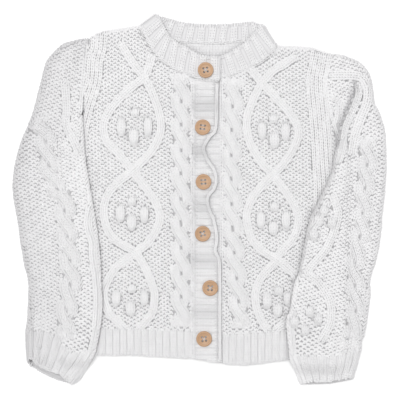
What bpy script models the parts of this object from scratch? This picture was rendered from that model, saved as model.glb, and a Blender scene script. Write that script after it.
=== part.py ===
"""Baby cardigan in white Aran wool, buttoned up and laid flat on its back.

The back lies on the table, the two fronts lie on the back, and each sleeve is a flattened
tube that starts at its armhole seam and folds down over the side of the body. A doubled
ribbed neckband runs round the neck, and six wooden buttons sit on the lapped front bands.

Tables and sizes are in millimetres: x to the right, y up towards the neck, z off the table.
The origin is on the table, under the middle of the whole garment.
"""

import math

import bmesh
import bpy
from mathutils import Vector
from mathutils.geometry import delaunay_2d_cdt, intersect_point_line

MM = 0.001

# Cloth
WALL = 3.0  # moss stitch ground of a panel
SEAM = 0.3  # clearance between pieces that are sewn together or lie on each other
ROPE_RISE = 2.2
TRELLIS_RISE = 1.9
BOBBLE_RISE = 3.0
RIB_RISE = 1.1
BAND_RIB_RISE = 0.7

# Levels of the undersides, from the table up
BACK_Z = 0.0
FRONT_Z = BACK_Z + WALL + SEAM
FRONT_TOP = FRONT_Z + WALL
LAP_Z = FRONT_TOP + SEAM

# Stitch patterns
ROPE_WIDTH = 20.0
ROPE_TURN = 23.6  # length of one crossing of a rope cable
ROPE_SLANT = 0.42  # how far a strand slants over half the width, in crossings
ROPE_VALLEY = 0.15  # height of the valley at a crossing, as a share of the rise
ROPE_ROWS = (0.0, 0.28, 0.72)  # points of each crossing: along it, in crossings
ROPE_ACROSS = (-1.0, -0.62, 0.0, 0.62, 1.0)  # and across it, in half widths
TRELLIS_WIDTH = 7.2
BOBBLE_RADIUS = 3.8
RIB_PITCH = 6.7
RIB_SHARE = 0.8  # width of a rib, as a share of the pitch
RIB_OVERRUN = 4.0  # a rib goes on past the edge by this much, so that it is full height there
COLUMN_PITCH = 3.9
COLUMN_SHARE = 0.86
COLUMNS = 5

# Sleeves
SLIT = 0.6  # space left inside a flattened sleeve
FOLD_ROUND = 2.0  # how far a sleeve's side fold bulges past its flat faces
SLEEVE_LIFT = LAP_Z  # a sleeve that lies on a front rests this high
LIFT_CLEAR = 2.0  # the sleeve stays at that height for this distance past the body's edge
LIFT_REACH = 14.0  # and comes down to the table over this distance
CUFF_MOUTH = 2.4  # height of the open cuff
MOUTH_REACH = 16.0  # the cuff opens over this distance
SIDE_CURL = 1.2  # the faces of a flattened sleeve curve together by this much at each side fold

# Neckband, knitted double
NECK_THICK = 4.0
NECK_FOLD = 2.5  # radius of the turn at each side of the neck
NECK_RIB_PITCH = 8.6
NECK_RIB_ROWS = ((0.0, 0.0), (0.28, 1.0), (0.72, 1.0))  # sections of each rib: share, height
NECK_CLEAR = 0.1  # the turned band stays this far off the table
NECK_UNDER_Z = FRONT_Z + NECK_THICK / 2
NECK_LAP_Z = NECK_UNDER_Z + NECK_THICK + SEAM

# Front bands
BAND_RIB_PITCH = 6.9
BAND_RIBS = (-155.0, 112.0)  # the ribs are spread between these y
BAND_RAMP = (-6.2, -2.0)  # the upper band climbs over the lower one between these x
LAP_SEAM_X = -6.5
LAP_HEM = [(15, -154.5), (10, -154.1), (5, -153.7), (BAND_RAMP[1], -153.1), (LAP_SEAM_X, -152.6)]
LAP_NECK = [(LAP_SEAM_X, 118.6), (-1, 116.4), (6, 115.2), (12, 114.6)]
UNDER_BAND = [(-1.2, 114.4), (-1.2, -153.6), (20.9, -157.0), (20.5, -20), (20.4, 114.6)]
UNDER_CLEAR = 1.5  # the lower band's ribs show from this far past the upper band's edge

# Buttons
BUTTON_RADIUS = 7.5
BUTTON_THICK = 3.0
BUTTON_HOLE = 0.95
BUTTON_HOLE_SPREAD = 1.75  # from the button's middle to each hole's
BUTTON_SIDES = 18
BUTTON_PROFILE = [
    # radius, height, each as a share of the button's own
    (0.88, 0.0), (1.0, 0.33), (1.0, 0.73), (0.92, 1.0), (0.76, 0.97), (0.65, 0.77),
]

# How finely a curve is followed, the least space between two points of a surface, and the
# spacing of its points where there is no pattern
STEP = 6.4
CLOSE = 1.55
FILL = 12.0
FILL_EDGE = 0.4  # a filling point keeps off the edge by this share of the spacing
FILL_CLEAR = 0.5  # and off the points of a pattern by this share
COVER_EDGE = 1.8  # a pattern starts this far from the piece that covers its panel
COVER_REACH = 3.0  # and rises to its full height over this distance

# A strand's flat top, as a share of its half width; a strand narrower than this has a ridge
CREST = 0.45
NARROW = 3.0

WOOL = {"name": "off-white wool", "colour": (0.80, 0.79, 0.78), "roughness": 0.95}
BEECH = {"name": "beech", "colour": (0.58, 0.39, 0.26), "roughness": 0.55}

# Outlines of the panels: x, y
BACK = [
    (-54, 163), (-79, 161), (-107, 153.4), (-109.3, 134), (-111.9, 105), (-112.2, 84), (-123.5, 51),
    (-124.6, -48), (-123.6, -146), (-60, -148), (0, -151), (60, -154), (131, -151),
    (132, -40), (132, 56), (123.8, 88), (121.8, 99), (120.6, 113), (122.4, 125), (125.6, 139.4),
    (105, 146), (78, 147), (69, 146.6), (54, 150), (40, 152.5), (21, 150), (4, 150.6), (-21, 151.7), (-33, 153.4), (-46, 158.5),
]
RIGHT_FRONT = [
    (-7.0, -152.3), (-6.8, 119.3), (-17.5, 122.6), (-26, 126.5), (-37, 134), (-46.2, 145), (-53.5, 157),
    (-57.3, 167), (-78, 163.5), (-94, 161), (-106.6, 154.3), (-110, 134), (-112.6, 105), (-112.8, 84.2),
    (-118, 68), (-124.3, 51), (-125.3, -48), (-124.3, -148),
]
RIGHT_HEM = [(-124.3, -148), (-101, -148.2), (-60, -149), (-30, -151), (-7.0, -152.3)]
RIGHT_HEM_TOP = [(-124, -124), (-8, -127)]
LEFT_FRONT = [
    (132, -153), (132.5, -40), (133, 52), (132.8, 57.2), (124.4, 88),
    (122.2, 99), (121, 113), (123, 125), (126, 139.5), (105, 146), (90, 146.8), (77, 147.5),
    (71.5, 142.4), (61, 133.8), (52, 129), (45.5, 125.4), (34.5, 120.8),
    (23.8, 117.4), (20.8, 114), (21, -20), (21.4, -157.4),
]
LEFT_HEM = [(21.4, -157.4), (45, -158.3), (68, -155.5), (89, -152.8), (132, -153)]
LEFT_HEM_TOP = [(22, -130), (132, -124)]

# Rope cables: the middle line of each
RIGHT_ROPE = [(-17.5, 119), (-17.5, 60), (-17.8, 0), (-17.5, -60), (-17.5, -121)]
LEFT_ROPE = [(33, 114), (31, 70), (30.5, 20), (32, -30), (36, -78), (40, -122)]

# Diamond trellis: its strands, each from the shoulder to the hem
RIGHT_TRELLIS = [
    [(-76, 150), (-63, 130), (-53, 117), (-45, 102), (-39, 84), (-37, 68), (-42, 53), (-52, 40),
     (-65, 27), (-80, 15), (-89, 3), (-92, -13), (-87, -31), (-76, -42), (-62, -50), (-53, -64),
     (-46, -80), (-43, -92), (-45, -107), (-51, -116), (-58, -124)],
    [(-46, 137), (-50, 123), (-54, 117), (-71, 103), (-85, 87), (-92, 72), (-89, 56), (-79, 46),
     (-65, 28), (-52, 12), (-42, -3), (-38, -16), (-41, -28), (-50, -42), (-62, -51), (-79, -64),
     (-89, -80), (-92, -92), (-87, -108), (-76, -119), (-71, -124)],
]
LEFT_TRELLIS = [
    [(50, 124), (54, 119), (60, 112), (74, 97), (88, 81), (95, 65), (90, 49), (80, 34), (71, 24),
     (55, 8), (46, -10), (46, -24), (51, -39), (62, -50), (73, -57), (85, -66), (92, -74),
     (96, -92), (88, -112), (73, -125)],
    [(91, 137), (80, 129), (72, 125), (60, 112), (52, 97), (46, 80), (46, 64), (51, 49),
     (61, 34), (71, 23), (85, 4), (94, -13), (94, -27), (88, -40), (77, -51), (71, -61), (59, -75),
     (54, -88), (54, -100), (59, -115), (66, -126)],
]

# Bobbles: x, y
RIGHT_BOBBLES = [
    (-60, 81), (-73, 72), (-50, 72), (-61, 61), (-65, -1), (-75, -11), (-53, -13), (-65, -20),
    (-65, -85), (-81, -93), (-53, -93), (-66, -103),
]
LEFT_BOBBLES = [
    (71, 77), (61, 68), (82, 66), (72, 58), (73, -7), (59, -19), (82, -19), (71, -26),
    (76, -88), (84, -93), (67, -105),
]

# The line beside which the five narrow ribs of each front run
RIGHT_COLUMN_LINE = [(-88, 160), (-89, 144), (-92, 133), (-94, 111), (-103, 81), (-107, 57), (-108, 27)]
LEFT_COLUMN_LINE = [(107, 144), (104, 127), (102, 111), (106, 67), (108, 33), (109, 19)]

# Free edge of the buttonhole band and of the button band, from the neck to the hem: x, y
LAP_EDGE = [
    (18.2, 113), (17.6, 93), (17.4, 76), (15.8, 65), (11.0, 60), (6.2, 52.5), (5.3, 47.6), (9.1, 38),
    (14, 31), (16.8, 23), (16.8, 15), (14, 8.4), (9.2, 2.6), (9.1, -4.1), (12, -12.7), (15, -19.5),
    (17.8, -36.7), (16.2, -49.2), (19.2, -54.5), (20.6, -66), (20.7, -110), (21.0, -155),
]

# Neckband: the sewn edge and the folded edge at each station, and the level of the middle
FRONT_LAP_STATIONS = [
    # sewn x, y, folded x, y, z
    (18.5, 115.4, 19.0, 137.0, NECK_LAP_Z),
    (5.3, 115.8, 6.2, 137.0, NECK_LAP_Z),
    (-1.5, 117.0, -0.5, 138.6, NECK_LAP_Z - 0.5),
    (-7.5, 119.6, -5.2, 142.0, 7.4),
    (-13, 121.6, -9.0, 144.4, 5.9),
    (-18, 123.3, -13.0, 146.6, 5.7),
    (-26, 127.2, -21.8, 151.4, 6.1),
    (-36.7, 134.6, -28.6, 156.4, 6.8),
    (-45.8, 145.6, -32.4, 162.6, 7.2),
]
LEFT_SIDE_FOLD = (-54.7, 164.0, -37.6, 174.0)
BACK_STATIONS = [
    (-46, 159.0, -33.6, 173.6, NECK_THICK / 2),
    (-33, 154.0, -26.0, 172.0, NECK_THICK / 2),
    (-20.8, 152.4, -15.6, 168.8, NECK_THICK / 2),
    (4, 151.2, 5.5, 167.4, NECK_THICK / 2),
    (21, 150.7, 25.0, 167.4, NECK_THICK / 2),
    (40, 153.2, 39.6, 168.8, NECK_THICK / 2),
    (54, 150.8, 50.0, 170.2, NECK_THICK / 2),
]
RIGHT_SIDE_FOLD = (70.6, 147.0, 57.0, 167.4)
FRONT_UNDER_STATIONS = [
    (70.2, 142.2, 53.2, 162.0, 7.2),
    (60.4, 134.4, 48.8, 156.0, 6.8),
    (51.6, 129.6, 42.2, 150.2, 6.1),
    (45, 126, 35.6, 145.4, 5.6),
    (34.2, 121.6, 27.4, 140.6, NECK_UNDER_Z),
    (23.4, 118.1, 19.0, 137.2, NECK_UNDER_Z),
    (13, 116.4, 11.2, 136.2, NECK_UNDER_Z),
    (3.4, 116.2, 4.0, 136.0, NECK_UNDER_Z),
]

# Sleeves: the fold on the outer side and the one that lies on the body, then the cuff
RIGHT_SLEEVE = {
    "shoulder_to_cuff": [
        (-108.4, 154.8), (-117, 153.4), (-125, 151.4), (-132, 148.6), (-140, 141), (-147, 132), (-151, 117),
        (-155, 102), (-159, 86), (-165, 70), (-171, 56), (-177, 34), (-179, 15), (-178, 0), (-174, -22),
        (-172, -38), (-168, -62), (-164, -80), (-165, -115), (-167, -130), (-165.5, -156.7),
    ],
    "underarm_to_cuff": [
        (-113.2, 83.6), (-111.5, 62), (-110.5, 45), (-108, 27), (-105, 9), (-101, -14), (-98, -34),
        (-95.5, -58), (-94.6, -82), (-93.6, -96), (-94.6, -116), (-98, -135), (-101.5, -148),
        (-114, -170), (-121.5, -177.2),
    ],
    "cuff": [(-165.5, -156.7), (-153, -165.5), (-137, -173), (-121.5, -177.2)],
    "armhole": [(-113.2, 83.6), (-112.9, 105), (-110.3, 134), (-108.4, 154.8)],
    "lift_from": (84.0, 106.0),
    "rope": [(-156, 78), (-148, 58), (-144.5, 34), (-137, 12), (-130, 3), (-128, -20), (-126, -37),
             (-123.5, -56), (-122.5, -78), (-126, -97), (-128, -119), (-128, -132)],
    "strands": [
        [(-129, 112), (-127.5, 92), (-127, 70), (-120, 57), (-115, 45)],
        [(-104.5, -8), (-106, -24), (-101.5, -41), (-101.3, -52), (-98.6, -73), (-97, -97), (-98.6, -122)],
    ],
    "bobbles": [],
    "rib_ends": [(-165, -128), (-100, -132)],
    "crumple": [(-116.5, 142, 6.5, 2.4)],
}
LEFT_SLEEVE = {
    "shoulder_to_cuff": [
        (127.0, 139.8), (137, 138.6), (144.6, 135.8), (152.2, 132.8), (160, 125.4), (164.6, 115),
        (166.6, 101.5), (168, 92), (171.4, 86), (174.4, 78.4), (178, 63), (179, 32), (178.2, 17), (177, 1.6), (175, -14),
        (174, -29), (172, -44), (168.5, -60), (163.7, -75), (163.5, -91), (161.8, -106), (160.8, -114),
        (158, -129), (155, -137), (155, -144), (148.5, -168), (147.2, -172.4),
    ],
    "underarm_to_cuff": [
        (133.4, 56.8), (130, 43), (128, 28.5), (122.4, 14), (117.6, 4.5), (110.8, -10), (106, -19.5),
        (101, -43.5), (96, -69.4), (91.2, -82), (87.5, -106), (83.8, -115.5), (86, -139.5), (87, -152),
        (90.6, -160), (97.4, -177.3),
    ],
    "cuff": [(147.2, -172.4), (129, -176.2), (113, -177.2), (97.4, -177.3)],
    "armhole": [(133.4, 56.8), (124.9, 88), (122.6, 99), (121.4, 113), (123.4, 125), (127.0, 139.8)],
    "lift_from": (56.5, 76.0),
    "rope": [(162, 40), (158, 8), (156, -22), (152, -44), (148, -68), (150, -91), (149, -113), (144.5, -132)],
    "strands": [
        [(127, 4), (132, -12), (129, -28), (120, -48), (104, -68), (113, -78), (124, -96), (125, -116),
         (116, -134)],
        [(122, -4), (112, -20), (105, -32)],
        [(145, 120), (152, 119), (158.6, 115), (161, 103)],
        [(127, 121), (138, 121.6), (150, 121)],
    ],
    "bobbles": [
        (118.6, -10), (114, -20), (109, -33), (126, -22), (105, -106), (113, -114), (91, -116), (101, -124),
    ],
    "rib_ends": [(155, -142), (88, -152)],
    "crumple": [],
}
# The left sleeve's cap is pushed back in a fold: the cloth right of this line lies higher
CAP_FOLD = [(151, 110), (142.5, 85.5), (134.5, 58)]
CAP_FOLD_RISE = 4.0
CAP_FOLD_STEP = 1.6
CAP_FOLD_REACH = 26.0
CAP_FOLD_TOP = 12.0  # the fold comes up over this length at its upper end
CAP_FOLD_TAIL = 24.0  # and dies out over this length at its lower end

BUTTONS = [(5.8, 123.4), (3.1, 69.1), (3.8, 17.0), (3.1, -32.4), (10.2, -84.2), (4.4, -132.7)]


def smooth(points, step):
    """The curve through the points, with its own points about a step apart."""
    pts = [Vector(p) for p in points]
    ends = [2 * pts[0] - pts[1], *pts, 2 * pts[-1] - pts[-2]]
    curve = [pts[0]]
    for a, b, c, d in zip(ends, ends[1:], ends[2:], ends[3:]):
        pieces = max(1, round((c - b).length / step))
        for i in range(1, pieces + 1):
            t = i / pieces
            square, cube = 2 * a - 5 * b + 4 * c - d, 3 * b - a - 3 * c + d
            curve.append(0.5 * (2 * b + (c - a) * t + square * t**2 + cube * t**3))
    return curve


def straight(points, step):
    """The broken line through the points, divided into equal pieces of about a step."""
    line = []
    for a, b in zip(points, points[1:]):
        a, b = Vector(a), Vector(b)
        pieces = max(1, round((b - a).length / step))
        line += [a.lerp(b, i / pieces) for i in range(pieces)]
    return [*line, Vector(points[-1])]


def beside(path, shift):
    """The path moved sideways, to the left of its direction where the shift is positive."""
    moved = []
    for i, p in enumerate(path):
        along = (path[min(i + 1, len(path) - 1)] - path[max(i - 1, 0)]).normalized()
        moved.append(p + Vector((-along.y, along.x)) * shift)
    return moved


def away(point, path):
    """Distance from a point to a path."""
    best = math.inf
    for a, b in zip(path, path[1:]):
        near, share = intersect_point_line(point, a, b)
        near = (a, b)[share > 0.5] if not 0 <= share <= 1 else near.to_2d()
        best = min(best, (point - near).length)
    return best


def within(point, loop):
    """Whether a point is inside a closed loop."""
    odd = False
    for a, b in zip(loop, [*loop[1:], loop[0]]):
        if (a.y > point.y) != (b.y > point.y):
            if point.x < a.x + (point.y - a.y) * (b.x - a.x) / (b.y - a.y):
                odd = not odd
    return odd


def outside(point, loop):
    """Distance out of a closed loop, negative inside it."""
    return away(point, [*loop, loop[0]]) * (-1 if within(point, loop) else 1)


def ease(share):
    """A smooth rise from 0 to 1."""
    share = min(1.0, max(0.0, share))
    return share * share * (3 - 2 * share)


class Strand:
    """A raised strand that follows a path, such as a cable or a rib."""

    def __init__(self, path, width, rise):
        self.path, self.half, self.rise = path, width / 2, rise
        self.low = Vector((min(p.x for p in path), min(p.y for p in path)))
        self.high = Vector((max(p.x for p in path), max(p.y for p in path)))

    def dots(self):
        crest = (CREST, -CREST) if self.half > NARROW else (0.0,)
        lines = [beside(self.path, self.half * share) for share in (*crest, 1.0, -1.0)]
        first, last = self.path[0], self.path[-1]
        ends = [
            first + (first - self.path[1]).normalized() * self.half,
            last + (last - self.path[-2]).normalized() * self.half,
        ]
        return [p for line in lines for p in line] + ends

    def at(self, p):
        if not (
            self.low.x - self.half < p.x < self.high.x + self.half
            and self.low.y - self.half < p.y < self.high.y + self.half
        ):
            return 0.0
        off = away(p, self.path) / self.half
        return self.rise * min(1.0, max(0.0, (1.0 - off) / (1.0 - CREST)))


class Bobble:
    """A round knot of wool."""

    def __init__(self, x, y, radius=BOBBLE_RADIUS, rise=BOBBLE_RISE):
        self.middle, self.radius, self.rise = Vector((x, y)), radius, rise

    def dots(self):
        ring = [
            self.middle + Vector((math.cos(a), math.sin(a))) * self.radius * share
            for share, start in ((0.62, 0.0), (1.0, 0.5))
            for a in [(i + start) * math.tau / 6 for i in range(6)]
        ]
        return [self.middle, *ring]

    def at(self, p):
        off = (p - self.middle).length / self.radius
        return self.rise * math.sqrt(max(0.0, 1.0 - off * off))


class Rope:
    """A rope cable: two strands that cross at every turn, from the viewer's left to right."""

    def __init__(self, middle, width=ROPE_WIDTH, rise=ROPE_RISE):
        self.path, self.half, self.rise = smooth(middle, STEP), width / 2, rise
        self.reach = [0.0]
        for a, b in zip(self.path, self.path[1:]):
            self.reach.append(self.reach[-1] + (b - a).length)

    def place(self, along, across):
        """The point so far down the rope and so far to its left, as a share of its half width."""
        i = max((k for k in range(len(self.path) - 1) if self.reach[k] <= along), default=0)
        a, b = self.path[i], self.path[i + 1]
        down = (b - a).normalized()
        return a + down * (along - self.reach[i]) + Vector((-down.y, down.x)) * self.half * across

    def dots(self):
        dots = []
        for crossing in range(-1, int(self.reach[-1] / ROPE_TURN) + 2):
            for row in ROPE_ROWS:
                for across in ROPE_ACROSS:
                    along = (crossing + row + across * ROPE_SLANT) * ROPE_TURN
                    if 0.0 <= along <= self.reach[-1]:
                        dots.append(self.place(along, across))
        return dots

    def at(self, p):
        best, along, across = math.inf, 0.0, 0.0
        for a, b, walked in zip(self.path, self.path[1:], self.reach):
            run = b - a
            share = min(1.0, max(0.0, (p - a).dot(run) / run.length_squared))
            off = p - a.lerp(b, share)
            if off.length < best:
                best, along = off.length, walked + share * run.length
                across = run.cross(off) / run.length / self.half
        if best >= self.half or abs(across) >= 1.0:
            return 0.0
        crossing = abs(math.sin(math.pi * (along / ROPE_TURN - across * ROPE_SLANT)))
        height = ROPE_VALLEY + (1.0 - ROPE_VALLEY) * math.sqrt(crossing)
        return self.rise * math.sqrt(1.0 - across * across) * height


def ribbed_edge(upper, lower):
    """Ribs from an upper line down to an edge, and the points of that edge, rib and furrow."""
    upper, lower = [Vector(p) for p in upper], [Vector(p) for p in lower]
    count = round(sum((b - a).length for a, b in zip(lower, lower[1:])) / RIB_PITCH)
    ribs = []
    for i in range(count):
        share = (i + 0.5) / count
        a, b = at_share(upper, share), at_share(lower, share)
        path = straight([a, b + (b - a).normalized() * RIB_OVERRUN], STEP * 1.4)
        ribs.append(Strand(path, RIB_PITCH * RIB_SHARE, RIB_RISE))
    return ribs, [at_share(lower, i / count / 2) for i in range(2 * count + 1)]


def at_share(path, share):
    """The place at a share of a path's length."""
    lengths = [(b - a).length for a, b in zip(path, path[1:])]
    due = share * sum(lengths)
    for a, b, length in zip(path, path[1:], lengths):
        if due <= length:
            return a.lerp(b, due / length)
        due -= length
    return path[-1]


def thinned(dots, loop):
    """The dots that are inside the loop and not too close to its edge or to each other."""
    kept = []
    for dot in dots:
        if all((dot - k).length > CLOSE for k in kept) and outside(dot, loop) < -CLOSE:
            kept.append(dot)
    return kept


def filled(dots, loop, spacing=FILL):
    """The dots, and a plain grid of more where there are none."""
    grid = []
    low = Vector((min(p.x for p in loop), min(p.y for p in loop)))
    high = Vector((max(p.x for p in loop), max(p.y for p in loop)))
    for row in range(int((high.y - low.y) / spacing) + 1):
        for column in range(int((high.x - low.x) / spacing) + 1):
            dot = low + Vector((column + 0.5 * (row % 2), row)) * spacing
            inside = outside(dot, loop) < -spacing * FILL_EDGE
            if inside and all((dot - d).length > spacing * FILL_CLEAR for d in dots):
                grid.append(dot)
    return [*dots, *grid]


def surface(mesh, loop, dots, level):
    """A surface over a loop, through the dots, at the level that a function gives."""
    count = len(loop)
    flat, _, faces, origin, _, _ = delaunay_2d_cdt([*loop, *dots], [], [list(range(count))], 1, 1e-4)
    corners = [mesh.verts.new((p.x * MM, p.y * MM, level(p) * MM)) for p in flat]
    for face in faces:
        mesh.faces.new([corners[i] for i in face])
    rim = {first: corner for ids, corner in zip(origin, corners) for first in ids if first < count}
    return [rim[i] for i in range(count)]


def wall(mesh, upper, lower):
    """Faces between two rows of corners."""
    for a, b, c, d in zip(upper, upper[1:], lower[1:], lower):
        mesh.faces.new((a, b, c, d))


def material(finish):
    """The Principled material of a finish, made once."""
    made = bpy.data.materials.get(finish["name"])
    if made is None:
        made = bpy.data.materials.new(finish["name"])
        made.use_nodes = True
        shader = made.node_tree.nodes["Principled BSDF"]
        shader.inputs["Base Color"].default_value = (*finish["colour"], 1.0)
        shader.inputs["Roughness"].default_value = finish["roughness"]
        shader.inputs["Metallic"].default_value = 0.0
    return made


def finished(name, mesh, finish=WOOL):
    """The named object of a mesh, with its faces turned outwards."""
    bmesh.ops.recalc_face_normals(mesh, faces=mesh.faces)
    data = bpy.data.meshes.new(name)
    mesh.to_mesh(data)
    mesh.free()
    data.materials.append(material(finish))
    piece = bpy.data.objects.new(name, data)
    bpy.context.collection.objects.link(piece)
    return piece


def relief(features, covers):
    """The rise of the highest feature at a point, let down to nothing under a cover."""

    def rise(p):
        height = max((f.at(p) for f in features), default=0.0)
        for cover in covers if height else ():
            height *= ease((outside(p, cover) - COVER_EDGE) / COVER_REACH)
        return height

    return rise


def plate(name, loop, dots, top, bottom, bottom_dots=(), fill=FILL):
    """A closed piece of cloth over a loop: a worked upper face over a plain inside."""
    mesh = bmesh.new()
    upper = surface(mesh, loop, filled(thinned(dots, loop), loop, fill), top)
    lower = surface(mesh, loop, bottom_dots, bottom)
    wall(mesh, [*upper, upper[0]], [*lower, lower[0]])
    return finished(name, mesh)


def body_outline():
    """Everything that a sleeve can lie on."""
    sides = [(-54, 163), (-107, 154), (-110.5, 134), (-113, 105), (-113, 84), (-124.6, 51), (-125.6, -48)]
    hem = [(-124.6, -148.5), (-30, -151.5), (21, -158), (45, -158.6), (89, -153.2), (132.4, -153.2)]
    left = [(133, -40), (133.4, 52), (133.2, 57.4), (124.8, 88), (121.4, 113), (126.4, 139.6), (78, 147)]
    return [Vector(p) for p in [*sides, *hem, *left]]


def sleeve_loop(cut):
    """The outline of a sleeve as it lies."""
    loop = smooth(cut["shoulder_to_cuff"], STEP) + smooth(cut["cuff"], STEP)[1:]
    loop += smooth(cut["underarm_to_cuff"], STEP)[-2::-1] + smooth(cut["armhole"], STEP)[1:-1]
    return loop


def make_back():
    plate("back", straight(BACK, 40.0), [], lambda p: BACK_Z + WALL, lambda p: BACK_Z, fill=60.0)


def make_front(name, outline, hem, hem_top, features, sleeve):
    """A front, with its stitch pattern raised and its hem ribs running to the edge."""
    ribs, edge = ribbed_edge(hem_top, hem)
    features = [*features, *ribs]
    loop = [*straight(outline, STEP)[:-1], *edge[:-1]]
    covers = [sleeve_loop(sleeve)]
    raised = relief(features, covers)
    dots = [dot for f in features for dot in f.dots()]
    clear = [d for d in dots if all(outside(d, cover) > 0 for cover in covers)]
    plate(name, loop, clear, lambda p: FRONT_TOP + raised(p), lambda p: FRONT_Z)


def columns(line, side):
    """The narrow ribs beside the armhole."""
    path = smooth(line, STEP)
    return [
        Strand(beside(path, side * COLUMN_PITCH * (i + 0.5)), COLUMN_PITCH * COLUMN_SHARE, RIB_RISE)
        for i in range(COLUMNS)
    ]


def make_fronts():
    right = [
        Rope(RIGHT_ROPE),
        *(Strand(smooth(path, STEP), TRELLIS_WIDTH, TRELLIS_RISE) for path in RIGHT_TRELLIS),
        *(Bobble(x, y) for x, y in RIGHT_BOBBLES),
        *columns(RIGHT_COLUMN_LINE, -1),
    ]
    make_front("right_front", RIGHT_FRONT, RIGHT_HEM, RIGHT_HEM_TOP, right, RIGHT_SLEEVE)
    left = [
        Rope(LEFT_ROPE),
        *(Strand(smooth(path, STEP), TRELLIS_WIDTH, TRELLIS_RISE) for path in LEFT_TRELLIS),
        *(Bobble(x, y) for x, y in LEFT_BOBBLES),
        *columns(LEFT_COLUMN_LINE, 1),
    ]
    make_front("left_front", LEFT_FRONT, LEFT_HEM, LEFT_HEM_TOP, left, LEFT_SLEEVE)


def cap_fold(p):
    """How much higher the left sleeve's upper cloth lies beside its cap fold."""
    line = [Vector(q) for q in CAP_FOLD]
    top, bottom = line[0], line[-1]
    if (bottom - top).cross(p - top) <= 0:
        return 0.0
    reach = away(p, line)
    head = ease(0.5 + (top.y - p.y) / CAP_FOLD_TOP)
    ends = head * ease(1.25 + (p.y - bottom.y) / CAP_FOLD_TAIL)
    slope = ease(reach / CAP_FOLD_STEP) * ease(1 - (reach - CAP_FOLD_STEP) / CAP_FOLD_REACH)
    return CAP_FOLD_RISE * ends * slope


def sleeve_pattern(cut):
    """What is raised on a sleeve, and the points of its cuff's edge."""
    ribs, cuff = ribbed_edge(cut["rib_ends"], cut["cuff"])
    features = [
        Rope(cut["rope"]),
        *(Strand(smooth(path, STEP), TRELLIS_WIDTH, TRELLIS_RISE) for path in cut["strands"]),
        *(Bobble(x, y) for x, y in cut["bobbles"]),
        *(Bobble(x, y, radius, rise) for x, y, radius, rise in cut["crumple"]),
        *ribs,
    ]
    return features, cuff


def clear_of_ends(path, gap):
    """The inner points of a path that are at least a gap from both of its ends."""
    return [p for p in path[1:-1] if min((p - path[0]).length, (p - path[-1]).length) > gap]


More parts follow.
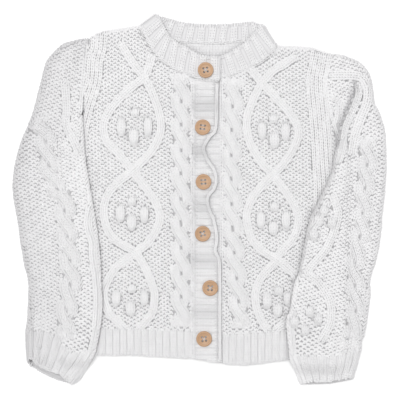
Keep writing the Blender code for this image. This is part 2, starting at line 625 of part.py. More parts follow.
def make_sleeve(name, cut, hand, extra=lambda p: 0.0, extra_dots=()):
    """A flattened tube, open at the armhole and at the cuff, that lies partly on the body.

    Its outline runs down the outer fold, along the cuff, up the inner fold and along the
    armhole. The slit's outline runs the same way, and meets it at the cuff and the armhole.
    """
    body = body_outline()
    start, full = cut["lift_from"]
    features, cuff = sleeve_pattern(cut)
    raised = relief(features, [])

    def lift(p):
        over = ease(1 - (outside(p, body) - LIFT_CLEAR) / LIFT_REACH)
        return SLEEVE_LIFT * over * ease((full - p.y) / (full - start))

    def upper_lift(p):
        return lift(p) + extra(p) + (CUFF_MOUTH - SLIT) * ease(1 - away(p, cuff) / MOUTH_REACH)

    out_fold = smooth(cut["shoulder_to_cuff"], STEP)
    in_fold = smooth(cut["underarm_to_cuff"], STEP)
    out_face, in_face = (
        beside(side, FOLD_ROUND * turn) for side, turn in ((out_fold, hand), (in_fold, -hand))
    )
    out_slit, in_slit = (
        beside(side, (FOLD_ROUND + WALL) * turn) for side, turn in ((out_fold, hand), (in_fold, -hand))
    )
    cuff_middle = clear_of_ends(cuff, FOLD_ROUND + WALL + 1)
    arm_middle = clear_of_ends(smooth(cut["armhole"], STEP), FOLD_ROUND + WALL + 1)
    loop = [
        *out_face, out_slit[-1], *cuff_middle, in_slit[-1],
        *in_face[::-1], in_slit[0], *arm_middle, out_slit[0],
    ]
    slit = [*out_slit, *cuff_middle, *in_slit[::-1], *arm_middle]

    ramp = [
        q
        for gap in (LIFT_CLEAR, LIFT_CLEAR + LIFT_REACH / 2, LIFT_CLEAR + LIFT_REACH)
        for q in beside(straight(body, STEP * 1.3), -gap)
        if within(q, loop)
    ]
    worked = filled(thinned([*extra_dots, *(d for f in features for d in f.dots())], loop), loop)
    under = filled(thinned(ramp, loop), loop, FILL * 2)
    plain = filled(thinned([*ramp, *extra_dots], slit), slit, FILL * 2)

    def curl(p):
        return SIDE_CURL * ease(1 - min(away(p, out_face), away(p, in_face)))

    mesh = bmesh.new()
    ceiling_z = BACK_Z + WALL + SLIT
    top = surface(mesh, loop, worked, lambda p: ceiling_z + WALL + upper_lift(p) + raised(p) - curl(p))
    bottom = surface(mesh, loop, under, lambda p: BACK_Z + lift(p) + curl(p))
    ceiling = surface(mesh, slit, plain, lambda p: ceiling_z + upper_lift(p))
    floor = surface(mesh, slit, plain, lambda p: BACK_Z + WALL + lift(p))
    folds = []
    for side in (out_fold, in_fold[::-1]):
        levels = [ceiling_z + (lift(p) + upper_lift(p) - SLIT) / 2 for p in side]
        folds.append([mesh.verts.new(Vector((*p, level)) * MM) for p, level in zip(side, levels)])

    # Where the cuff, the inner fold and the armhole start in the outline and in the slit
    outs, cuffs, ins = len(out_face), len(cuff_middle), len(in_face)
    cuff_at, in_at, arm_at = outs, outs + cuffs + 2, outs + cuffs + 2 + ins
    for row, fold in ((slice(0, outs), folds[0]), (slice(in_at, arm_at), folds[1])):
        wall(mesh, top[row], fold)
        wall(mesh, fold, bottom[row])
    for side in (slice(0, outs), slice(outs + cuffs, outs + cuffs + ins)):
        wall(mesh, ceiling[side], floor[side])
    cuff_row = [*range(outs - 1, outs + cuffs + 1)]
    arm_row = [*range(outs + cuffs + ins - 1, len(slit)), 0]
    for rim, inner in ((slice(cuff_at, in_at), cuff_row), (slice(arm_at, None), arm_row)):
        wall(mesh, top[rim], [ceiling[i] for i in inner])
        wall(mesh, [floor[i] for i in inner], bottom[rim])

    # Each end of a side fold closes the wall beside the slit
    for face, edge, inner, fold in (
        (outs - 1, cuff_at, cuff_row[0], folds[0][-1]),
        (in_at, in_at - 1, cuff_row[-1], folds[1][0]),
        (arm_at - 1, arm_at, arm_row[0], folds[1][-1]),
        (0, len(loop) - 1, arm_row[-1], folds[0][0]),
    ):
        upper, lower = (top[face], top[edge], ceiling[inner]), (floor[inner], bottom[edge], bottom[face])
        mesh.faces.new((*upper, *lower, fold))
    return finished(name, mesh)


def make_sleeves():
    make_sleeve("right_sleeve", RIGHT_SLEEVE, 1)
    fold = smooth(CAP_FOLD, STEP)
    fold_dots = [q for shift in (0.0, CAP_FOLD_STEP, CAP_FOLD_STEP + 5) for q in beside(fold, shift)]
    make_sleeve("left_sleeve", LEFT_SLEEVE, -1, cap_fold, fold_dots)


def band_ribs():
    """Ribs that run across the front bands."""
    x_low, x_high = LAP_SEAM_X, UNDER_BAND[2][0]
    y_low, y_high = BAND_RIBS
    count = round((y_high - y_low) / BAND_RIB_PITCH)
    pitch = (y_high - y_low) / count
    ribs = []
    for i in range(count):
        y = y_low + (i + 0.5) * pitch
        path = straight([(x_low - RIB_OVERRUN, y), (x_high + RIB_OVERRUN, y)], STEP)
        ribs.append(Strand(path, pitch * RIB_SHARE, BAND_RIB_RISE))
    return ribs


def lap_loop():
    """Outline of the buttonhole band, which lies on top."""
    seam = straight([LAP_HEM[-1], LAP_NECK[0]], STEP)
    return [
        *smooth(LAP_EDGE, STEP),
        *(Vector(p) for p in LAP_HEM[:-1]),
        *seam,
        *(Vector(p) for p in LAP_NECK[1:]),
    ]


def make_bands():
    """The upper band climbs from its seam over the lower band, whose edge it hides."""
    foot, head = BAND_RAMP
    loop = lap_loop()
    ribs = band_ribs()
    raised = relief(ribs, [])

    def climb(p):
        return (LAP_Z - FRONT_Z) * min(1.0, max(0.0, (p.x - foot) / (head - foot)))

    low, high = LAP_HEM[3][1], LAP_NECK[1][1]
    crease = [q for x in (head, (foot + head) / 2) for q in straight([(x, low), (x, high)], STEP)[1:-1]]
    plate(
        "buttonhole_band", loop, [*crease, *(d for r in ribs for d in r.dots())],
        lambda p: FRONT_Z + climb(p) + WALL + raised(p),
        lambda p: FRONT_Z + climb(p),
        thinned(crease, loop),
    )
    showing = relief(ribs, [loop])
    pins = beside(smooth(LAP_EDGE, STEP / 2), 1.0)
    dots = pins + [d for r in ribs for d in r.dots() if outside(d, loop) > UNDER_CLEAR]
    outline = straight(UNDER_BAND, STEP)
    plate("button_band", outline, dots, lambda p: FRONT_TOP + showing(p), lambda p: FRONT_Z)


def side_fold(line, hand, start):
    """Stations of the turn at a side of the neck, from the front's side to the back's or back."""
    sewn, folded = Vector(line[:2]), Vector(line[2:])
    along = (folded - sewn).normalized()
    outward = Vector((-along.y, along.x)) * hand
    stations = []
    for turn in (0, 45, 90, 135, 180):
        angle = math.radians(start + turn)
        shift = outward * NECK_FOLD * abs(math.sin(angle))
        level = NECK_THICK / 2 + NECK_FOLD * (1 + math.cos(angle)) + NECK_CLEAR
        stations.append((*(sewn + shift), *(folded + shift), level, start + turn))
    return stations


def neck_stations():
    """Every station round the neck: sewn edge, folded edge, level, and turn from face up."""
    return [
        *((*row, 0.0) for row in FRONT_LAP_STATIONS),
        *side_fold(LEFT_SIDE_FOLD, 1, 0.0),
        *((*row, 180.0) for row in BACK_STATIONS),
        *side_fold(RIGHT_SIDE_FOLD, -1, 180.0),
        *((*row, 360.0) for row in FRONT_UNDER_STATIONS),
    ]


def make_neckband():
    """The doubled band, swept round the neck, with a rib at each pitch."""
    stations = neck_stations()
    rings = [(Vector((sx, sy, z)), Vector((fx, fy, z)), turn) for sx, sy, fx, fy, z, turn in stations]
    walked = [0.0]
    for (a, b, _), (c, d, _) in zip(rings, rings[1:]):
        walked.append(walked[-1] + ((a + b) / 2 - (c + d) / 2).length)
    count = round(walked[-1] / NECK_RIB_PITCH)
    mesh, rows = bmesh.new(), []
    for rib in range(count):
        for share, height in NECK_RIB_ROWS:
            rows.append(neck_ring(mesh, rings, walked, (rib + share) / count * walked[-1], height))
    rows.append(neck_ring(mesh, rings, walked, walked[-1], 0.0))
    for row, following in zip(rows, rows[1:]):
        wall(mesh, [*row, row[0]], [*following, following[0]])
    mesh.faces.new(rows[0])
    mesh.faces.new(rows[-1])
    return finished("neckband", mesh)


def neck_ring(mesh, rings, walked, due, height):
    """One section of the neckband: rounded at its fold, ribbed on the face that shows."""
    i = max(k for k in range(len(rings) - 1) if walked[k] <= due)
    share = (due - walked[i]) / (walked[i + 1] - walked[i])
    (a, b, turn_a), (c, d, turn_b) = rings[i], rings[i + 1]
    sewn, folded = a.lerp(c, share), b.lerp(d, share)
    turn = math.radians(turn_a + (turn_b - turn_a) * share)
    width = (folded - sewn).length
    across = (folded - sewn) / width
    up = Vector((0, 0, 1))
    normal = up * math.cos(turn) - across.cross(up).normalized() * math.sin(turn)
    half = NECK_THICK / 2
    shows_outside = math.cos(turn) > -0.1
    rib = height * BAND_RIB_RISE
    outer = half + (rib if shows_outside else 0.0)
    inner = half + (0.0 if shows_outside else rib)
    profile = [
        (0.0, -inner * 0.8), (0.0, outer * 0.8), (width * 0.25, outer), (width * 0.75, outer),
        (width - 1.0, outer * 0.7), (width, 0.0), (width - 1.0, -inner * 0.7), (width * 0.5, -inner),
    ]
    return [mesh.verts.new((sewn + across * w + normal * n) * MM) for w, n in profile]


def button_mesh():
    """A turned disc with a raised rim."""
    mesh, rows = bmesh.new(), []
    for radius, height in BUTTON_PROFILE:
        row = []
        reach, level = radius * BUTTON_RADIUS * MM, height * BUTTON_THICK * MM
        for i in range(BUTTON_SIDES):
            angle = i * math.tau / BUTTON_SIDES
            row.append(mesh.verts.new((reach * math.cos(angle), reach * math.sin(angle), level)))
        rows.append(row)
    for row, following in zip(rows, rows[1:]):
        wall(mesh, [*row, row[0]], [*following, following[0]])
    mesh.faces.new(rows[0])
    mesh.faces.new(rows[-1])
    return mesh


def drill_hole(button, x, y):
    """Cut one thread hole through a button."""
    mesh = bmesh.new()
    bmesh.ops.create_cone(
        mesh, cap_ends=True, segments=6, radius1=BUTTON_HOLE * MM, radius2=BUTTON_HOLE * MM,
        depth=2 * BUTTON_THICK * MM,
    )
    data = bpy.data.meshes.new("drill")
    mesh.to_mesh(data)
    mesh.free()
    drill = bpy.data.objects.new("drill", data)
    bpy.context.collection.objects.link(drill)
    drill.location = button.location + Vector((x, y, BUTTON_THICK / 2)) * MM
    drill.hide_render = True
    drill.display_type = "WIRE"
    cut = button.modifiers.new("hole", "BOOLEAN")
    cut.operation = "DIFFERENCE"
    cut.object = drill


def make_buttons():
    """Six beech buttons; the first sits on the neckband, the others on the upper band."""
    for number, (x, y) in enumerate(BUTTONS, 1):
        cloth = NECK_LAP_Z + NECK_THICK / 2 if number == 1 else LAP_Z + WALL
        button = finished(f"button_{number}", button_mesh(), BEECH)
        button.location = Vector((x, y, cloth + BAND_RIB_RISE + SEAM)) * MM
        for side in (-1, 1):
            for end in (-1, 1):
                reach = BUTTON_HOLE_SPREAD / math.sqrt(2)
                drill_hole(button, side * reach, end * reach)


for old in list(bpy.data.objects):
    bpy.data.objects.remove(old)
make_back()
make_fronts()
make_sleeves()
make_bands()
make_neckband()
make_buttons()
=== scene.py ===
"""Baby cardigan in off-white Aran wool, buttoned up and laid flat on its back.

Lengths in the tables are millimetres: x to the right, y towards the neck, z off the table.
Every piece is built in the order in which the garment is put together.
"""

import math

import bpy
import numpy as np
from mathutils.geometry import delaunay_2d_cdt
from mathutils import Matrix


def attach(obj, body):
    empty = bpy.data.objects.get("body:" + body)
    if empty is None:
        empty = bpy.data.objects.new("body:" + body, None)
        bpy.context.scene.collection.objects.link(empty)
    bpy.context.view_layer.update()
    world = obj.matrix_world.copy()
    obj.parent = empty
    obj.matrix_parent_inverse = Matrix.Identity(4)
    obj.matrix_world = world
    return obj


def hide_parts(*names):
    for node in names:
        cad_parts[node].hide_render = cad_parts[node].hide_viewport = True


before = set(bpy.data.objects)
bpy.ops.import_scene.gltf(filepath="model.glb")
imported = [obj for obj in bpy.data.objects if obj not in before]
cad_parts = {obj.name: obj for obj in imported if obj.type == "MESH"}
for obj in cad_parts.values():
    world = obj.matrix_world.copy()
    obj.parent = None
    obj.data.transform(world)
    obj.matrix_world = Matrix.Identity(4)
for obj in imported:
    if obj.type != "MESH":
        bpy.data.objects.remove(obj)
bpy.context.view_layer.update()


# --- Back -------------------------------------------------------------------------------
# One panel of stocking stitch, knitted in off-white wool from the hem up. It lies face down
# on the table, with the fronts on it, and its smooth inside shows in the neck opening.

MM = 0.001
BACK = [
    (-54, 163), (-79, 161), (-107, 153.4), (-109.3, 134), (-111.9, 105), (-112.2, 84), (-123.5, 51),
    (-124.6, -48), (-123.6, -146), (-60, -148), (0, -151), (60, -154), (131, -151),
    (132, -40), (132, 56), (123.8, 88), (121.8, 99), (120.6, 113), (122.4, 125), (125.6, 139.4),
    (105, 146), (78, 147), (69, 146.6), (54, 150), (40, 152.5), (21, 150), (4, 150.6), (-21, 151.7),
    (-33, 153.4), (-46, 158.5),
]
BACK_LEVELS = (0.0, 2.1)
INSIDE_NECK = (-48, 64, 128, 160)  # where the back's inside shows: x from, x to, y from, y to
# The front edge of the neck opening, along which a painted shadow greys the back's inside, with its reach and
# depth
NECK_SHADOW = [
    (-34, 160), (-21, 151), (-5, 142), (6, 137.5), (19, 137.5), (36, 145.5), (49, 156), (54, 162),
]
NECK_SHADOW_REACH, NECK_SHADOW_DEPTH = 3.2, 0.45
STITCH_WIDE, STITCH_TALL = 3.1, 2.75  # the size of a knit stitch
EDGE_ROUND = 1.5  # how far from its edge a piece of cloth is rounded
EDGE_RINGS = (0.12, 0.45, 1.0)  # where corners follow the edge, as shares of that
UNDERSIDE_PITCH = (14.0, 12.0)  # how far apart the corners of the plain underside are
PLY_TURNS = 2.5  # how often the plies of the yarn go round in one loop


class Reading:
    """A value in a tree of nodes. Maths written with readings becomes nodes."""

    def __init__(self, owner, socket):
        self.owner, self.socket = owner, socket

    def maths(self, operation, *others):
        return self.owner.node("ShaderNodeMath", {"operation": operation}, dict(enumerate([self, *others])))

    def __add__(self, other):
        return self.maths("ADD", other)

    def __mul__(self, other):
        return self.maths("MULTIPLY", other)

    __radd__, __rmul__ = __add__, __mul__


class Nodes:
    """A tree whose nodes all come from one method: their type, settings, and sockets' values or links."""

    def node(self, kind, settings, values, output=0):
        made = self.tree.nodes.new(kind)
        for setting, value in settings.items():
            setattr(made, setting, value)
        for socket, value in values.items():
            for part in value if isinstance(value, list) else [value]:
                if isinstance(part, Reading):
                    self.tree.links.new(part.socket, made.inputs[socket])
                else:
                    made.inputs[socket].default_value = part
        return Reading(self, made.outputs[output])


class Finish(Nodes):
    """A material: a Principled shader and the nodes that vary it over the surface."""

    def __init__(self, name, **values):
        self.material = bpy.data.materials.new(name)
        self.material.use_nodes = True
        self.tree = self.material.node_tree
        self.shader = self.tree.nodes["Principled BSDF"]
        for socket, value in values.items():
            self.shader.inputs[socket.replace("_", " ")].default_value = value

    def feed(self, socket, reading):
        self.tree.links.new(reading.socket, self.shader.inputs[socket])

    def place(self):
        return self.node("ShaderNodeTexCoord", {}, {}, "Object")

    def noise(self, scale):
        return self.node("ShaderNodeTexNoise", {}, {"Vector": self.place(), "Scale": scale, "Detail": 2.0})

    def attribute(self, name):
        return self.node("ShaderNodeAttribute", {"attribute_name": name}, {}, "Fac")

    def mix(self, factor, first, second):
        return self.node("ShaderNodeMix", {"data_type": "RGBA"}, {0: factor, 6: first, 7: second}, 2)

    def bump(self, height, distance, strength):
        self.feed("Normal", self.node("ShaderNodeBump", {}, {
            "Height": height, "Distance": distance, "Strength": strength}))


WOOL_LIGHT = (0.820, 0.816, 0.822, 1.0)
WOOL_SHADE = (0.765, 0.760, 0.768, 1.0)
# The grey of painted shade, mixed into the wool where it lies in shade
WOOL_PAINTED_SHADE = (0.40, 0.395, 0.405, 1.0)

# The yarn of the stitches: two plies twisted together, with a few loose fibres
yarn = Finish("wool_yarn", Roughness=0.86, Sheen_Weight=0.2, Sheen_Roughness=0.5)
tinted = yarn.mix(yarn.noise(45.0) * 0.55 + yarn.attribute("tint") * 0.45, WOOL_SHADE, WOOL_LIGHT)
# Painted shade: the depth attribute greys the yarn in folds, in furrows, round bobbles and beside what lies
# on it
yarn.feed("Base Color", yarn.mix(yarn.attribute("depth"), tinted, WOOL_PAINTED_SHADE))
plies = (yarn.attribute("ply") * math.tau).maths("SINE")
yarn.bump(plies * 0.5 + yarn.noise(2400.0) * 0.7, 0.00025, 0.6)

# The cloth under the stitches: it shows between them, deep down, and on the inside
ground = Finish("wool_ground", Roughness=0.95)
# Painted shade: the depth attribute greys the cloth between the stitches, in furrows and folds, and inside
# the sleeves
ground.feed("Base Color", ground.mix(ground.attribute("depth"), WOOL_SHADE, WOOL_PAINTED_SHADE))
ribbing = ground.node("ShaderNodeTexWave", {"bands_direction": "X"}, {
    "Vector": ground.place(), "Scale": 100.0, "Distortion": 1.2, "Detail": 1.0, "Detail Scale": 120.0})
ground.bump(ribbing * 0.7 + ground.noise(900.0) * 0.5, 0.0006, 0.5)


def smooth(points, step):
    """The curve through the points, with its own points about a step apart."""
    pts = np.array(points, float)
    ends = np.vstack([2 * pts[0] - pts[1], pts, 2 * pts[-1] - pts[-2]])
    curve = [pts[:1]]
    for a, b, c, d in zip(ends, ends[1:], ends[2:], ends[3:]):
        count = max(1, round(np.linalg.norm(c - b) / step))
        t = (np.arange(1, count + 1) / count)[:, None]
        square, cube = 2 * a - 5 * b + 4 * c - d, 3 * b - a - 3 * c + d
        curve.append(0.5 * (2 * b + (c - a) * t + square * t**2 + cube * t**3))
    return np.vstack(curve)


def straight(points, step):
    """The broken line through the points, in pieces of about a step."""
    pts = np.array(points, float)
    line = [pts[:1]]
    for a, b in zip(pts, pts[1:]):
        count = max(1, round(np.linalg.norm(b - a) / step))
        line.append(a + (b - a) * (np.arange(1, count + 1) / count)[:, None])
    return np.vstack(line)


def walked(path):
    """How far along a path each of its points is."""
    return np.concatenate([[0.0], np.cumsum(np.hypot(*np.diff(path, axis=0)[:, :2].T))])


def at(path, along):
    """The places so far along a path, and the path's direction there."""
    reach = walked(path)
    places = np.stack([np.interp(along, reach, column) for column in path.T], 1)
    ways = np.stack([np.interp(along, reach, column) for column in np.gradient(path, axis=0).T], 1)
    return places, ways / np.linalg.norm(ways[:, :2], axis=1)[:, None]


def left_of(ways):
    """The directions a quarter turn to the left."""
    return np.stack([-ways[:, 1], ways[:, 0]], 1)


def beside(path, shift):
    """The path moved sideways, to the left of its direction where the shift is positive."""
    return path + left_of(at(path, walked(path))[1]) * shift


def near(spots, path):
    """How far each spot is from a path, how far along it that is, and how far to its left."""
    run = np.diff(path, axis=0)
    length = np.hypot(*run.T)
    reach = walked(path)
    found = [np.zeros(len(spots)) for _ in range(3)]
    batch = 4000
    for start in range(0, len(spots), batch):
        rows = slice(start, start + batch)
        gap = spots[rows, None] - path[:-1]
        share = np.clip((gap * run).sum(2) / length**2, 0, 1)
        off = gap - share[..., None] * run
        far = np.hypot(off[..., 0], off[..., 1])
        best = far.argmin(1)
        pick = np.arange(len(best))
        found[0][rows] = far[pick, best]
        found[1][rows] = reach[best] + (share * length)[pick, best]
        turned = run[best, 0] * off[pick, best, 1] - run[best, 1] * off[pick, best, 0]
        found[2][rows] = turned / length[best]
    return found


def within(spots, loop):
    """Whether each spot is inside a closed loop."""
    odd = np.zeros(len(spots), bool)
    for a, b in zip(loop, np.roll(loop, -1, axis=0)):
        if a[1] != b[1]:
            crosses = (a[1] > spots[:, 1]) != (b[1] > spots[:, 1])
            odd ^= crosses & (spots[:, 0] < a[0] + (spots[:, 1] - a[1]) * (b[0] - a[0]) / (b[1] - a[1]))
    return odd


def inset(spots, loop):
    """How far inside a closed loop each spot is, and negative outside it."""
    far = near(spots, np.vstack([loop, loop[:1]]))[0]
    return np.where(within(spots, loop), far, -far)


def ease(share):
    """A smooth rise from 0 to 1."""
    share = np.clip(share, 0.0, 1.0)
    return share * share * (3 - 2 * share)


def lattice(guide, wide, tall, reach, stagger=0.5):
    """Stitch places in rows across a guide line that runs from the shoulder to the hem."""
    rows = np.arange(int(walked(guide)[-1] / tall))
    middle, ways = at(guide, (rows + 0.5) * tall)
    columns = np.arange(-int(reach / wide), int(reach / wide) + 1)
    shift = (columns[None, :] + stagger * (rows % 2)[:, None]) * wide
    spots = middle[:, None] + left_of(ways)[:, None] * shift[..., None]
    return spots.reshape(-1, 2), np.repeat(-ways, len(columns), axis=0)


def cloth(name, loop, top, bottom, dots, pitch, deep):
    """A closed piece of cloth over an outline, with a rounded edge and a plain underside."""
    loop = straight(np.vstack([loop, loop[:1]]), pitch)[:-1]
    if np.sum(loop[:, 0] * np.roll(loop[:, 1], -1) - loop[:, 1] * np.roll(loop[:, 0], -1)) < 0:
        loop = loop[::-1]
    rings = [beside(loop, EDGE_ROUND * share) for share in EDGE_RINGS]
    middle = loop[:, 0].mean()
    down = np.array([[middle, loop[:, 1].max()], [middle, loop[:, 1].min()]])
    fine, coarse = (lattice(down, *spacing, np.ptp(loop[:, 0]))[0]
                    for spacing in ((pitch, pitch * 0.87), UNDERSIDE_PITCH))
    dots = np.vstack([dots, fine])
    dots = dots[inset(dots, loop) > EDGE_ROUND + pitch * 0.4]
    coarse = coarse[inset(coarse, loop) > EDGE_ROUND * 4]
    corners, faces, rim = [], [], {}
    for side, level, spots in ((1, top, [*rings, dots]), (-1, bottom, [*rings[1:], coarse])):
        flat, _, tris, origin, _, _ = delaunay_2d_cdt(
            [tuple(p) for p in np.vstack([loop, *spots])], [], [list(range(len(loop)))], 1, 1e-5)
        flat = np.array([tuple(p) for p in flat])
        middle = (top(flat) + bottom(flat)) / 2
        bulge = np.clip(1 - inset(flat, loop) / EDGE_ROUND, 0, 1)
        height = middle + (level(flat) - middle) * np.sqrt(1 - bulge**2)
        number = np.arange(len(flat)) + len(corners)
        for n, ids in enumerate(origin):
            for i in ids:
                if i < len(loop):  # the underside shares the corners of its rim with the upper side
                    number[n] = rim.setdefault(i, number[n])
        corners += [(x, y, z) for (x, y), z in zip(flat, height)]
        for tri in tris:
            a, b, c = (flat[i] for i in tri)
            up = (b[0] - a[0]) * (c[1] - a[1]) - (b[1] - a[1]) * (c[0] - a[0]) > 0
            faces.append([int(number[i]) for i in (tri if up == (side > 0) else tri[::-1])])
    # deep gives the painted shade at each corner
    return plain_mesh(name, corners, faces, deep)


def plain_mesh(name, corners, faces, deep):
    """A piece of cloth at the origin, with smooth faces, from corners in millimetres."""
    used = sorted({i for face in faces for i in face})
    renumber = {old: new for new, old in enumerate(used)}
    corners = np.array(corners)[used]
    data = bpy.data.meshes.new(name)
    data.from_pydata([tuple(p) for p in corners * MM], [], [[renumber[i] for i in face] for face in faces])
    data.polygons.foreach_set("use_smooth", [True] * len(data.polygons))
    data.materials.append(ground.material)
    # depth: the painted shade at each corner, which greys the cloth's colour
    depth = data.attributes.new("depth", "FLOAT", "POINT")
    depth.data.foreach_set("value", deep(corners).astype(np.float32))
    piece = bpy.data.objects.new(name, data)
    bpy.context.scene.collection.objects.link(piece)
    return piece


class Pattern(Nodes):
    """A Geometry Nodes tree with named inputs."""

    def __init__(self, name, **inputs):
        self.tree = bpy.data.node_groups.new(name, "GeometryNodeTree")
        face = self.tree.interface
        face.new_socket("Geometry", in_out="INPUT", socket_type="NodeSocketGeometry")
        self.known = {}
        for label, (kind, value) in inputs.items():
            socket = face.new_socket(label.replace("_", " "), in_out="INPUT", socket_type="NodeSocket" + kind)
            if value is not None:
                socket.default_value = value
            self.known[label] = socket.identifier
        face.new_socket("Geometry", in_out="OUTPUT", socket_type="NodeSocketGeometry")
        self.inputs = self.tree.nodes.new("NodeGroupInput")
        self.result = self.tree.nodes.new("NodeGroupOutput")

    def given(self, label):
        return Reading(self, self.inputs.outputs[label])

    def end(self, geometry, material):
        """The last two nodes: real geometry, and its material."""
        real = self.node("GeometryNodeRealizeInstances", {}, {"Geometry": geometry})
        done = self.node("GeometryNodeSetMaterial", {}, {"Geometry": real, "Material": material})
        self.tree.links.new(done.socket, self.result.inputs[0])

    def make(self, name, data, **values):
        """A plain mesh object made by the tree from some points."""
        piece = bpy.data.objects.new(name, data)
        bpy.context.scene.collection.objects.link(piece)
        work = piece.modifiers.new(name, "NODES")
        work.node_group = self.tree
        for label, value in values.items():
            work[self.known[label]] = value
        graph = bpy.context.evaluated_depsgraph_get()
        made = bpy.data.meshes.new_from_object(
            piece.evaluated_get(graph), preserve_all_data_layers=True, depsgraph=graph)
        piece.modifiers.remove(work)
        piece.data = made
        made.name = name
        return piece


# A loop of yarn on every point: it dips at both ends and swells in between. A knit stitch is
# two such loops that lean together, and a purl stitch is one that lies across.
loops = Pattern(
    "yarn_loops", From=("Vector", None), Over=("Vector", None), To=("Vector", None),
    Thickness=("Float", 0.0015), Both_Sides=("Bool", False), Unevenness=("Float", 0.12),
    Seed=("Int", 1), Wool=("Material", None),
)
share = loops.node("GeometryNodeSplineParameter", {}, {}, "Factor")
# The yarn is thinnest at the ends of a loop
swell = (share * math.pi).maths("SINE").maths("MULTIPLY_ADD", 0.55, 0.45)
line = loops.node("GeometryNodeCurveQuadraticBezier", {}, {
    "Resolution": 3, "Start": loops.given("From"), "Middle": loops.given("Over"), "End": loops.given("To")})
line = loops.node("GeometryNodeSetCurveRadius", {}, {"Curve": line, "Radius": swell})
line = loops.node("GeometryNodeStoreNamedAttribute", {"data_type": "FLOAT", "domain": "POINT"}, {
    "Geometry": line, "Name": "ply", "Value": share * PLY_TURNS})
strand = loops.node("GeometryNodeCurvePrimitiveCircle", {}, {
    "Resolution": 5, "Radius": loops.given("Thickness") * 0.5}, "Curve")
loop = loops.node("GeometryNodeCurveToMesh", {}, {"Curve": line, "Profile Curve": strand, "Fill Caps": True})
other = loops.node("GeometryNodeFlipFaces", {}, {
    "Mesh": loops.node("GeometryNodeTransform", {}, {"Geometry": loop, "Scale": (-1.0, 1.0, 1.0)})})
both = loops.node("GeometryNodeJoinGeometry", {}, {"Geometry": [loop, other]})
stitch = loops.node("GeometryNodeSwitch", {"input_type": "GEOMETRY"}, {
    "Switch": loops.given("Both Sides"), "False": loop, "True": both})
stitch = loops.node("GeometryNodeSetShadeSmooth", {}, {"Geometry": stitch})
normal, upwards, size = (
    loops.node("GeometryNodeInputNamedAttribute", {"data_type": "FLOAT_VECTOR"}, {"Name": name})
    for name in ("stitch_normal", "stitch_up", "stitch_size"))
turn = loops.node("FunctionNodeAxesToRotation", {"primary_axis": "Z", "secondary_axis": "Y"}, {
    "Primary Axis": normal, "Secondary Axis": upwards})
most = loops.given("Unevenness")
least = most * -1.0
tilt = loops.node("FunctionNodeRandomValue", {"data_type": "FLOAT_VECTOR"}, {
    "Min": loops.node("ShaderNodeCombineXYZ", {}, {0: least, 1: least, 2: least}),
    "Max": loops.node("ShaderNodeCombineXYZ", {}, {0: most, 1: most, 2: most}), "Seed": loops.given("Seed")})
turn = loops.node("FunctionNodeRotateRotation", {"rotation_space": "LOCAL"}, {
    "Rotation": turn, "Rotate By": loops.node("FunctionNodeEulerToRotation", {}, {"Euler": tilt})})
# Some stitches are a little larger than others, and lighter
chance = loops.node("FunctionNodeRandomValue", {"data_type": "FLOAT"}, {
    2: 0.0, 3: 1.0, "Seed": loops.given("Seed")}, 1)
laid = loops.node("GeometryNodeInstanceOnPoints", {}, {
    "Points": loops.given("Geometry"), "Instance": stitch, "Rotation": turn,
    "Scale": loops.node("ShaderNodeVectorMath", {"operation": "SCALE"}, {
        0: size, "Scale": chance.maths("MULTIPLY_ADD", 0.16, 0.92)})})
laid = loops.node("GeometryNodeStoreNamedAttribute", {"data_type": "FLOAT", "domain": "INSTANCE"}, {
    "Geometry": laid, "Name": "tint", "Value": chance})
loops.end(laid, loops.given("Wool"))

# The two kinds of stitch at their usual size: where a loop of yarn starts, swells and ends
KNIT = {"From": (0.12, -2.1, -0.10), "Over": (1.05, -0.3, 0.52), "To": (1.25, 2.0, -0.16), "Both_Sides": True}
PURL = {"From": (-1.25, -1.5, -0.5), "Over": (0.0, 2.7, 1.25), "To": (1.25, -1.5, -0.5), "Both_Sides": False}


def stitched(name, kind, places, normals, ups, sizes, depth, thickness=1.5, seed=1, unevenness=0.12):
    """Stitches of one kind on places in millimetres; a size is a stitch's width and height."""
    data = bpy.data.meshes.new(name)
    data.from_pydata([tuple(p) for p in places * MM], [], [])
    scales = np.hstack([sizes / [STITCH_WIDE, STITCH_TALL], np.ones((len(places), 1))])
    for label, values in (("stitch_normal", normals), ("stitch_up", ups), ("stitch_size", scales)):
        values = values.astype(np.float32).ravel()
        data.attributes.new(label, "FLOAT_VECTOR", "POINT").data.foreach_set("vector", values)
    # depth: the painted shade on each stitch, which greys its yarn
    data.attributes.new("depth", "FLOAT", "POINT").data.foreach_set("value", depth.astype(np.float32))
    points = {key: tuple(v * MM for v in kind[key]) for key in ("From", "Over", "To")}
    piece = loops.make(name, data, Thickness=thickness * MM, Seed=seed, Unevenness=unevenness,
                       Wool=yarn.material, Both_Sides=kind["Both_Sides"], **points)
    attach(piece, "root")
    return piece


def on_surface(spots, level, lift):
    """Places on a surface that a function of x and y gives, and its normals."""
    step = 0.5
    across = (level(spots + [step, 0]) - level(spots - [step, 0])) / (2 * step)
    along = (level(spots + [0, step]) - level(spots - [0, step])) / (2 * step)
    normals = np.stack([-across, -along, np.ones(len(spots))], 1)
    normals /= np.linalg.norm(normals, axis=1)[:, None]
    return np.hstack([spots, level(spots)[:, None]]) + normals * lift, normals


def flat_up(ways):
    """Directions on the table as directions in space."""
    return np.hstack([ways, np.zeros((len(ways), 1))])


def level_at(value):
    """A level that is the same everywhere."""
    return lambda spots: np.full(len(spots), value)


def neck_painted_shadow(spots):
    """The painted shadow on the inside of the back, greyest close to the front edge of the neck opening."""
    far = near(spots[:, :2], smooth(NECK_SHADOW, 3.0))[0]
    return NECK_SHADOW_DEPTH * np.exp(-(far / NECK_SHADOW_REACH) ** 2)


x_low, x_high, y_low, y_high = INSIDE_NECK
neck_middle = (x_low + x_high) / 2
closer = lattice(np.array([[neck_middle, 165], [neck_middle, 130]]), 2.5, 2.5, 60)[0]
back = cloth("back_cloth", straight(BACK, 6.0), level_at(BACK_LEVELS[1]), level_at(BACK_LEVELS[0]), closer,
             pitch=9.0, deep=neck_painted_shadow)
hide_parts("back")
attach(back, "root")

